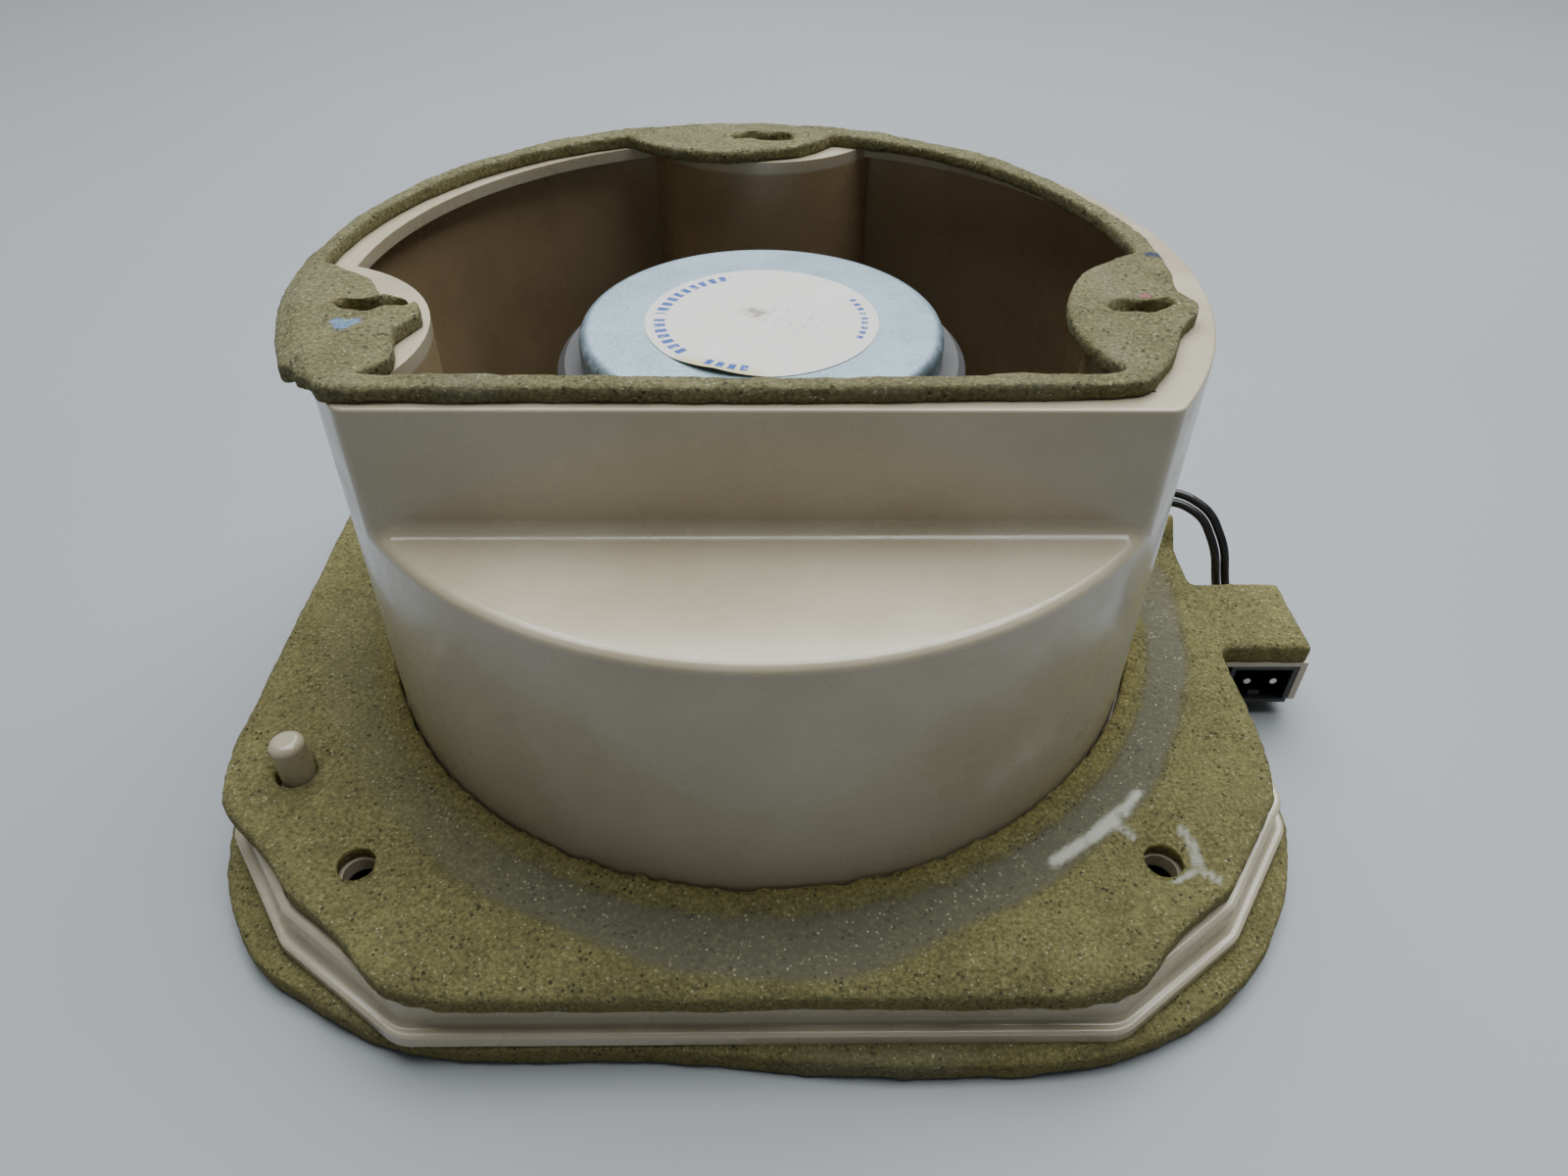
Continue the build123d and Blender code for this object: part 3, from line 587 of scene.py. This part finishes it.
spots[:, 1] += front * MM * (1.0 + 2.2 * left_end) + outer_front * 1.6 * MM
round_r = np.hypot(spots[:, 0], spots[:, 1])
left_lobe = near_spot(spots, -67 * MM, -38 * MM, 11 * MM) * step(round_r, 86 * MM, 76 * MM)
spots[:, 0] += left_lobe_pull * left_lobe
right_lobe = near_spot(spots, 65 * MM, -38 * MM, 11 * MM) * step(round_r, 78 * MM, 70 * MM)
spots[:, 0] -= right_lobe_pull * right_lobe
right_edge = step(spots[:, 0], 45 * MM, 65 * MM) * step(round_r, 70 * MM, 79 * MM)
left_edge = step(spots[:, 0], -45 * MM, -65 * MM) * step(round_r, 76 * MM, 86 * MM)
shrink = (right_edge_pull * right_edge + left_edge_pull * left_edge) / round_r
spots[:, 0] -= spots[:, 0] * shrink
spots[:, 1] -= spots[:, 1] * shrink
beyond_round = np.maximum(np.hypot(spots[:, 0], spots[:, 1]) - drum_r, 0.0)
beyond_flat = np.maximum(flat_y - spots[:, 1], 0.0)
overhang = np.maximum(beyond_round, beyond_flat)
spots[:, 2] -= droop_share * overhang
covered = overhang <= 0.0
spots[covered, 2] = np.maximum(spots[covered, 2], rim_foam_low.z - 0.1 * MM)
edge = 1.0 - top
paint = (
    ((-69.3 * MM, -27.6 * MM, 85.4 * MM), 2.0 * MM, (0.18, 0.36, 0.62)),
    ((-70.8 * MM, -26.0 * MM, 85.4 * MM), 1.5 * MM, (0.20, 0.38, 0.64)),
    ((-68.0 * MM, -26.0 * MM, 85.4 * MM), 1.5 * MM, (0.20, 0.38, 0.64)),
    ((67.4 * MM, -16.3 * MM, 85.4 * MM), 1.6 * MM, (0.50, 0.13, 0.20)),
    ((73.2 * MM, 1.9 * MM, 85.4 * MM), 1.5 * MM, (0.03, 0.05, 0.12)),
    ((74.6 * MM, 1.6 * MM, 85.4 * MM), 1.4 * MM, (0.03, 0.05, 0.12)),
)
marks = np.stack([0.35 * step(wave, 0.1, 0.6), np.zeros(len(spots)), 0.7 * edge + 0.4 * slit_shade], axis=1)
finish_foam(piece, spots, marks, rim_foam_material, "rim_gasket", paint)
print("largest overhang mm", round(float(overhang.max()) / MM, 2))

# %% [markdown]
# ## Foam under the foot
# A thicker ring seals the unit against its trim. It stands a few millimetres proud of the foot all round,
# and its corners and lower edge are soft and uneven from years of being squeezed.

# %% Front foam
piece = foam_copy("front_gasket", "front_foam", 1.0 * MM, 4)
spots, facing = points_of(piece)
wave = swell(spots, 22 * MM, 7)
ripple = swell(spots, 6 * MM, 8)
pit = swell(spots, 2.1 * MM, 9)
spots += facing * (0.55 * MM * wave + 0.28 * MM * ripple + 0.18 * MM * pit)[:, None]
tucked = step(spots[:, 0], 30 * MM, -30 * MM) * step(spots[:, 1], -84 * MM, -98 * MM)
spots[:, 1] += 3.0 * MM * tucked
spots[:, 2] = np.maximum(spots[:, 2], front_foam_low.z)
spots[:, 2] = np.minimum(spots[:, 2], front_foam_high.z + 0.05 * MM)
side = 1.0 - np.abs(facing[:, 2])
marks = np.stack([0.5 * step(wave, 0.1, 0.6), np.zeros(len(spots)), 0.8 * side], axis=1)
paint = (((-11.3 * MM, -107.0 * MM, -11.5 * MM), 2.6 * MM, (0.60, 0.05, 0.04)),)
finish_foam(piece, spots, marks, foam, "front_gasket", paint)

# %% [markdown]
# ## Smooth shading for the hard parts
# CAD solids arrive as loose triangles. Welding them and splitting only sharp edges lets fillets shade
# smoothly, and weighting normals by area keeps flat faces flat. The solids themselves stay untouched.


# %% Shade the CAD parts
def shade(node, material):
    """Smooth shading and a material for a CAD node."""
    part = nodes[node]
    part.data.polygons.foreach_set("use_smooth", np.ones(len(part.data.polygons), dtype=bool))
    weld = part.modifiers.new("weld", "WELD")
    weld.merge_threshold = 0.005 * MM
    sharp = part.modifiers.new("sharp", "EDGE_SPLIT")
    sharp.split_angle = math.radians(32)
    even = part.modifiers.new("even", "WEIGHTED_NORMAL")
    even.weight = 80
    part.data.materials.clear()
    part.data.materials.append(material)


shade("housing", plastic)
print("housing shaded")

# %% [markdown]
# ## Zinc, ferrite and enamel
# The back plate is zinc-plated steel in a light blue-grey with small crystals, darker and scratched round
# its edge; the crystals' sparkle is painted in as bright specks, a painted glint. The ferrite ring is dull
# and dark. The basket is black enamel over steel.

# %% Metal materials
zinc, tree, shader = begin("zinc_steel", metallic=0.35)
here = place(tree)
x, y, _ = split(tree, here)
# Painted glints: bright specks in the base colour where the crystals catch the light.
painted_glints = ranged(tree, cells(tree, here, 1.0 * MM), 0.20, 0.08)
grain = cloud(tree, here, 0.9 * MM, 4.0, 0.7)
patches = ranged(tree, cloud(tree, here, 9 * MM, 4.0), 0.3, 0.7)
tint = blend_colours(tree, patches, (0.27, 0.37, 0.43), (0.35, 0.46, 0.53))
speckle = times(tree, ranged(tree, grain, 0.52, 0.36), 0.45)
tint = blend_colours(tree, speckle, tint, (0.14, 0.20, 0.25))
tint = blend_colours(tree, times(tree, painted_glints, 0.8), tint, (0.72, 0.80, 0.84))
near_edge = ranged(tree, radius(tree, x, y), 33.0 * MM, 35.0 * MM)
worn_edge = times(tree, near_edge, ranged(tree, cloud(tree, here, 2.5 * MM, 4.0), 0.25, 0.6))
tint = blend_colours(tree, times(tree, worn_edge, 0.85), tint, (0.11, 0.14, 0.16))
feed(tree, shader.inputs["Base Color"], tint)
feed(tree, shader.inputs["Roughness"], ranged(tree, grain, 0.3, 0.7, 0.55, 0.32))
feed(tree, shader.inputs["Normal"], relief(tree, grain, 0.05 * MM, 0.5))

ferrite, tree, shader = begin("ferrite", roughness=0.6)
mottle(tree, shader, 6 * MM, 5.0, (0.035, 0.035, 0.038), (0.085, 0.085, 0.085))
grain_bump(tree, shader, 0.6 * MM, 4.0, 0.08 * MM, 0.5)

enamel, tree, shader = begin("basket_steel", roughness=0.35)
mottle(tree, shader, 12 * MM, 4.0, (0.018, 0.018, 0.020), (0.045, 0.043, 0.042))
dull(tree, shader, 5 * MM, 5.0, 0.28, 0.5)
grain_bump(tree, shader, 1.1 * MM, 3.0, 0.04 * MM, 0.5)

steel, tree, shader = begin("plated_steel", metallic=1.0, roughness=0.3)
mottle(tree, shader, 2 * MM, 4.0, (0.50, 0.49, 0.46), (0.70, 0.70, 0.68))
dull(tree, shader, 0.8 * MM, 3.0, 0.22, 0.45)
grain_bump(tree, shader, 0.4 * MM, 2.0, 0.02 * MM, 0.4)

for node, material in {
    "back_yoke": zinc,
    "front_plate": zinc,
    "ferrite_magnet": ferrite,
    "basket": enamel,
    "basket_rivets": steel,
    "terminal_rivet": steel,
    "terminal_lugs": steel,
    "driver_screws": steel,
    "connector_pins": steel,
}.items():
    shade(node, material)
print("metal parts shaded")

# %% [markdown]
# ## Label
# A round paper label sits on the back plate. The real one carries words; here plain blue dashes stand in
# their place, a long row on the left and a short, small one on the right. It is a disc cut into rings, with
# its lower left edge lifted and yellowed where the glue has let go, and a brown smudge near its middle.

# %% Label piece and paper
label_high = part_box("yoke_label")[1]
label_r = label_high.x
work = bmesh.new()
bmesh.ops.create_circle(work, cap_ends=True, cap_tris=False, segments=144, radius=label_r)
for width in (0.03, 0.06, 0.08, 0.12, 0.15, 0.2, 0.2):
    middle = [face for face in work.faces if len(face.verts) > 8]
    bmesh.ops.inset_individual(work, faces=middle, thickness=label_r * width, use_even_offset=True)
bmesh.ops.translate(work, verts=work.verts, vec=(0, 0, label_high.z - 0.12 * MM))
for vert in work.verts:
    turn = math.degrees(math.atan2(vert.co.y, vert.co.x))
    lifted = max(0.0, 1.0 - abs(turn + 112.0) / 26.0)
    outer = max(0.0, (vert.co.xy.length / label_r - 0.84) / 0.16)
    vert.co.z += 0.9 * MM * lifted * outer * outer + 0.03 * MM * noise.noise(vert.co / (4 * MM))
top_faces = list(work.faces)
bmesh.ops.solidify(work, geom=top_faces, thickness=0.1 * MM)
bmesh.ops.recalc_face_normals(work, faces=work.faces)
mesh = bpy.data.meshes.new("label_disc")
work.to_mesh(mesh)
work.free()
label = bpy.data.objects.new("label_disc", mesh)
bpy.context.scene.collection.objects.link(label)

paper, tree, shader = begin("label_paper", roughness=0.55)
here = place(tree)
x, y, _ = split(tree, here)
from_axis = radius(tree, x, y)
turn = sums(tree, "ARCTAN2", y, x)
sheet_tone = blend_colours(tree, cloud(tree, here, 7 * MM, 4.0), (0.58, 0.575, 0.52), (0.68, 0.675, 0.63))
from_lift = sums(tree, "ABSOLUTE", sums(tree, "ADD", turn, 1.95))
glue = times(tree, ranged(tree, from_axis, 17 * MM, 22.4 * MM), ranged(tree, from_lift, 0.55, 0.2))
sheet_tone = blend_colours(tree, times(tree, glue, 0.75), sheet_tone, (0.50, 0.42, 0.16))
ragged = times(tree, cloud(tree, here, 1.6 * MM, 5.0), 6 * MM)
smudge = sums(tree, "ADD", radius(tree, x, y, (-1.5 * MM, 3.0 * MM)), ragged)
smudged = ranged(tree, smudge, 5.6 * MM, 3.8 * MM, 0.0, 0.75)
sheet_tone = blend_colours(tree, smudged, sheet_tone, (0.20, 0.14, 0.08))


def dashes(tree, rate, share, phase):
    """Dashes round the axis, a share of each step wide."""
    wave = sums(tree, "SINE", sums(tree, "ADD", times(tree, turn, rate), phase))
    return ranged(tree, wave, share - 0.06, share + 0.06)


def ring_band(tree, low, high):
    """1 between two radii."""
    beyond_low = ranged(tree, from_axis, low, low + 0.15 * MM)
    return times(tree, beyond_low, ranged(tree, from_axis, high, high - 0.15 * MM))


def word(tree, middle, reach):
    """1 within an angle of a direction, both in radians."""
    around = tree.nodes.new("ShaderNodeMath")
    around.operation = "WRAP"
    feed(tree, around.inputs[0], sums(tree, "SUBTRACT", turn, middle))
    around.inputs[1].default_value = math.pi
    around.inputs[2].default_value = -math.pi
    return ranged(tree, sums(tree, "ABSOLUTE", around.outputs[0]), reach, reach - 0.02)


left_side = sums(tree, "MAXIMUM", word(tree, 2.47, 0.57), word(tree, -2.76, 0.39))
left_side = sums(tree, "MAXIMUM", left_side, word(tree, -1.88, 0.24))
right_side = sums(tree, "MAXIMUM", word(tree, 0.30, 0.20), word(tree, -0.20, 0.25))
large = times(tree, dashes(tree, 54.0, -0.30, 0.6), ring_band(tree, 18.6 * MM, 21.0 * MM))
large = times(tree, large, left_side)
small = times(tree, dashes(tree, 62.0, -0.2, 0.0), ring_band(tree, 19.2 * MM, 20.6 * MM))
small = times(tree, small, right_side)
ink = sums(tree, "MAXIMUM", large, small)
print_wear = ranged(tree, cloud(tree, here, 1.2 * MM, 4.0), 0.30, 0.45, 0.35, 1.0)
ink = times(tree, ink, print_wear)
sheet_tone = blend_colours(tree, ink, sheet_tone, (0.015, 0.07, 0.32))
slanted = sums(tree, "SUBTRACT", x, times(tree, y, 0.4))
row = ranged(tree, sums(tree, "SINE", times(tree, slanted, 2.2 / MM)), 0.45, 0.6)
typed = times(tree, row, ranged(tree, cloud(tree, here, 0.9 * MM, 2.0), 0.48, 0.56))
typed = times(tree, typed, ranged(tree, radius(tree, x, y, (6 * MM, 1.5 * MM)), 8 * MM, 6 * MM))
sheet_tone = blend_colours(tree, times(tree, typed, 0.35), sheet_tone, (0.22, 0.23, 0.24))
feed(tree, shader.inputs["Base Color"], sheet_tone)
grain_bump(tree, shader, 2.5 * MM, 4.0, 0.08 * MM, 0.4)
mesh.materials.append(paper)
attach(label, "root")
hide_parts("yoke_label")
print("label faces:", len(mesh.polygons))

# %% [markdown]
# ## Rubber surround, cloth spider and tinsel leads
# These three flex as the cone moves. The surround and the spider are thin profiles spun round the axis; the
# spider's corrugations let it stretch.


# %% Spun pieces
def spun(name, path, thickness, steps):
    """A thin closed band along a path of radius and height, spun round the axis."""
    work = bmesh.new()
    half = thickness / 2
    first = []
    second = []
    for index, (r, height) in enumerate(path):
        before = path[max(index - 1, 0)]
        after = path[min(index + 1, len(path) - 1)]
        along = Vector((after[0] - before[0], after[1] - before[1])).normalized()
        first.append(work.verts.new((r - along.y * half, 0, height + along.x * half)))
        second.append(work.verts.new((r + along.y * half, 0, height - along.x * half)))
    loop = first + second[::-1]
    edges = [work.edges.new((loop[index - 1], loop[index])) for index in range(len(loop))]
    bmesh.ops.spin(
        work, geom=edges, cent=(0, 0, 0), axis=(0, 0, 1), angle=math.tau, steps=steps, use_merge=True
    )
    bmesh.ops.remove_doubles(work, verts=work.verts, dist=0.001 * MM)
    bmesh.ops.recalc_face_normals(work, faces=work.faces)
    mesh = bpy.data.meshes.new(name)
    work.to_mesh(mesh)
    work.free()
    mesh.polygons.foreach_set("use_smooth", np.ones(len(mesh.polygons), dtype=bool))
    piece = bpy.data.objects.new(name, mesh)
    bpy.context.scene.collection.objects.link(piece)
    print(name, "faces", len(mesh.polygons))
    return piece


def arc_points(start, end, rise, count):
    """Points on a half wave from start to end."""
    points = []
    for index in range(count + 1):
        share = index / count
        r = start[0] + (end[0] - start[0]) * (1 - math.cos(math.pi * share)) / 2
        height = start[1] + (end[1] - start[1]) * share - rise * math.sin(math.pi * share)
        points.append((r, height))
    return points


surround_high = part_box("surround")[1]
outer_z = basket_low.z - 0.4 * MM
inner_z = -0.8 * MM
roll_out = 67.3 * MM
roll_in = 57.3 * MM
half_roll = arc_points((roll_out, outer_z), (roll_in, outer_z), 4.2 * MM, 18)
path = [(surround_high.x, outer_z), (70 * MM, outer_z)] + half_roll
path += [(roll_in, outer_z + 1.5 * MM), (57.0 * MM, inner_z), (54.0 * MM, inner_z)]
surround = spun("surround_roll", path, 0.8 * MM, 128)

rubber, tree, shader = begin("surround_foam", roughness=0.55)
mottle(tree, shader, 5 * MM, 5.0, (0.020, 0.020, 0.021), (0.050, 0.048, 0.045))
grain_bump(tree, shader, 0.7 * MM, 3.0, 0.06 * MM, 0.5)
surround.data.materials.append(rubber)

spider_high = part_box("spider")[1]
neck = 13.7 * MM
cloth_flat_r = 44 * MM
wave_steps = 72
waves = 4
spider_rest = spider_high.z - 0.55 * MM
path = [(spider_high.x, spider_rest), (cloth_flat_r, spider_rest)]
for index in range(1, wave_steps + 1):
    share = index / wave_steps
    height = spider_rest + (28.5 * MM - spider_rest) * share + 0.8 * MM * math.sin(share * waves * math.tau)
    path.append((cloth_flat_r + (neck - cloth_flat_r) * share, height))
path += [(neck - 0.2 * MM, 29.0 * MM)]
spider = spun("spider_cloth_disc", path, 0.5 * MM, 128)

cloth, tree, shader = begin("spider_cloth", roughness=0.85)
here = place(tree)
x, y, _ = split(tree, here)
warp = sums(tree, "SINE", times(tree, x, 5.0 / MM))
weft = sums(tree, "SINE", times(tree, y, 5.0 / MM))
weave = times(tree, warp, weft)
threads = ranged(tree, weave, -0.5, 0.5)
cloth_tone = blend_colours(tree, threads, (0.30, 0.20, 0.085), (0.48, 0.35, 0.17))
feed(tree, shader.inputs["Base Color"], cloth_tone)
feed(tree, shader.inputs["Normal"], relief(tree, weave, 0.1 * MM, 0.6))
spider.data.materials.append(cloth)

for piece, node, slot_name, start_z, end_z in (
    (surround, "surround", "surround_foam", -4.4 * MM, -0.9 * MM),
    (spider, "spider", "spider_cloth", 33.3 * MM, 29.2 * MM),
):
    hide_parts(node)
    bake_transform(piece)

# %% [markdown]
# ## Tinsel leads
# Two braids of thin copper carry the current from the terminal strip to the moving coil. Each is a merged
# copy of its CAD tube.

# %% Tinsel leads
work = bmesh.new()
work.from_mesh(nodes["tinsel_leads"].data)
bmesh.ops.remove_doubles(work, verts=work.verts, dist=0.01 * MM)
bmesh.ops.recalc_face_normals(work, faces=work.faces)
mesh = bpy.data.meshes.new("tinsel_braids")
work.to_mesh(mesh)
work.free()
mesh.polygons.foreach_set("use_smooth", np.ones(len(mesh.polygons), dtype=bool))
tinsel = bpy.data.objects.new("tinsel_braids", mesh)
bpy.context.scene.collection.objects.link(tinsel)
braid, tree, shader = begin("coil_copper", metallic=0.9, roughness=0.4)
here = place(tree)
x, _, z = split(tree, here)
slanted = sums(tree, "ADD", x, times(tree, z, 1.2))
strands = sums(tree, "SINE", times(tree, slanted, 9.0 / MM))
twist = ranged(tree, strands, -0.6, 0.6)
braid_tone = blend_colours(tree, twist, (0.36, 0.17, 0.09), (0.72, 0.42, 0.26))
feed(tree, shader.inputs["Base Color"], braid_tone)
feed(tree, shader.inputs["Normal"], relief(tree, strands, 0.1 * MM, 0.6))
tinsel.data.materials.clear()
tinsel.data.materials.append(braid)
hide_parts("tinsel_leads")
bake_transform(tinsel)
shade("voice_coil_winding", braid)
print("tinsel faces:", len(mesh.polygons))

# %% [markdown]
# ## Cone, coil and card
# The cone and its dust cap are black pressed paper pulp, slightly hairy and uneven. The coil's former is
# thin aluminium, the ring on the surround is dark card, and the terminal strip is brown fibre board.

# %% Driver materials
pulp, tree, shader = begin("cone_paper", roughness=0.8)
here = place(tree)
fibres = cloud(tree, here, 1.3 * MM, 6.0, 0.7)
tangle = ranged(tree, fibres, 0.35, 0.7)
pulp_tone = blend_colours(tree, tangle, (0.022, 0.022, 0.023), (0.075, 0.073, 0.070))
feed(tree, shader.inputs["Base Color"], pulp_tone)
feed(tree, shader.inputs["Normal"], relief(tree, fibres, 0.18 * MM, 0.6))

card, tree, shader = begin("ring_card", roughness=0.85)
mottle(tree, shader, 3 * MM, 5.0, (0.045, 0.038, 0.030), (0.11, 0.09, 0.07))
grain_bump(tree, shader, 0.9 * MM, 4.0, 0.1 * MM, 0.5)

board, tree, shader = begin("strip_board", roughness=0.6)
mottle(tree, shader, 2 * MM, 5.0, (0.13, 0.06, 0.025), (0.26, 0.13, 0.06))
grain_bump(tree, shader, 0.6 * MM, 3.0, 0.05 * MM, 0.5)

aluminium, tree, shader = begin("coil_former", metallic=1.0, roughness=0.35)
mottle(tree, shader, 3 * MM, 3.0, (0.55, 0.55, 0.54), (0.72, 0.72, 0.71))
grain_bump(tree, shader, 0.8 * MM, 2.0, 0.03 * MM, 0.4)

black, tree, shader = begin("socket_plastic", roughness=0.42)
mottle(tree, shader, 3 * MM, 4.0, (0.012, 0.012, 0.013), (0.030, 0.029, 0.028))
grain_bump(tree, shader, 0.5 * MM, 3.0, 0.03 * MM, 0.5)

sleeve, tree, shader = begin("lead_rubber", roughness=0.28)
mottle(tree, shader, 6 * MM, 3.0, (0.010, 0.010, 0.011), (0.024, 0.023, 0.022))
dull(tree, shader, 2 * MM, 4.0, 0.2, 0.4)
grain_bump(tree, shader, 3 * MM, 2.0, 0.08 * MM, 0.4)

for node, material in {
    "cone": pulp,
    "dust_cap": pulp,
    "surround_ring": card,
    "terminal_strip": board,
    "voice_coil_former": aluminium,
    "connector_shell": black,
    "lead_grommet": sleeve,
    "lead_positive": sleeve,
    "lead_negative": sleeve,
}.items():
    shade(node, material)
print("driver parts shaded")

# %% [markdown]
# ## Floor, light and camera
# A pale floor carries the unit. One large soft light hangs above and a little behind it, so the tops are
# bright and the upright faces toward the viewer stay in half shade.

# %% Stage
work = bmesh.new()
bmesh.ops.create_grid(work, x_segments=8, y_segments=8, size=2.5)
bmesh.ops.translate(work, verts=work.verts, vec=(0, 0, front_foam_low.z))
mesh = bpy.data.meshes.new("floor")
work.to_mesh(mesh)
work.free()
floor = bpy.data.objects.new("floor", mesh)
bpy.context.scene.collection.objects.link(floor)
pale, tree, shader = begin("floor_pale", roughness=0.55)
mottle(tree, shader, 0.35, 3.0, (0.28, 0.30, 0.32), (0.33, 0.35, 0.37))
mesh.materials.append(pale)
floor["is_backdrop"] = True


def area_light(name, spot, target, size, power, colour):
    """A square soft light aimed at a target."""
    data = bpy.data.lights.new(name, "AREA")
    data.size = size
    data.energy = power
    data.color = colour
    lamp = bpy.data.objects.new(name, data)
    bpy.context.scene.collection.objects.link(lamp)
    lamp.location = spot
    lamp.rotation_mode = "QUATERNION"
    lamp.rotation_quaternion = (Vector(target) - Vector(spot)).to_track_quat("-Z", "Y")


area_light("sky", (0.10, 0.38, 1.05), (0, 0.02, 0.03), 1.35, 36.0, (0.95, 0.98, 1.0))
area_light("fill", (-0.3, -1.2, 0.5), (0, 0, 0.02), 0.9, 0.5, (1.0, 0.96, 0.90))
world = bpy.data.worlds.new("room")
world.use_nodes = True
world.node_tree.nodes["Background"].inputs["Color"].default_value = (0.75, 0.80, 0.86, 1.0)
world.node_tree.nodes["Background"].inputs["Strength"].default_value = 0.12
bpy.context.scene.world = world

# %% [markdown]
# ## Camera
# The camera stands in front of the unit and looks down at forty degrees, turned and tilted very slightly.

# %% Camera
pitch = 0.69808
yaw = 0.0179
roll = -0.0105
forward = Vector((math.sin(yaw) * math.cos(pitch), math.cos(yaw) * math.cos(pitch), -math.sin(pitch)))
level = Vector((math.cos(yaw), -math.sin(yaw), 0.0))
upright = level.cross(forward)
right = level * math.cos(roll) - upright * math.sin(roll)
up = upright * math.cos(roll) + level * math.sin(roll)
camera_x = 1.33 * MM
camera_y = -194.6 * MM
camera_z = 168.48 * MM
camera_data = bpy.data.cameras.new("camera")
camera_data.sensor_width = 36.0
camera_data.lens = 24.969
camera_data.clip_start = 0.01
camera = bpy.data.objects.new("camera", camera_data)
bpy.context.scene.collection.objects.link(camera)
camera.matrix_world = Matrix((
    (right.x, up.x, -forward.x, camera_x),
    (right.y, up.y, -forward.y, camera_y),
    (right.z, up.z, -forward.z, camera_z),
    (0.0, 0.0, 0.0, 1.0),
))
bpy.context.scene.camera = camera
print("camera looks along", tuple(round(v, 3) for v in forward))

# %% [markdown]
# ## Check the size
# The dressed unit should fill the same box as the CAD model, so the difference of the two boxes is printed
# in millimetres.

# %% Finish
last_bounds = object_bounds()
for name, before, after in zip(("low", "high"), first_bounds, last_bounds):
    print(name, [round((a - b) / MM, 2) for a, b in zip(after, before)])
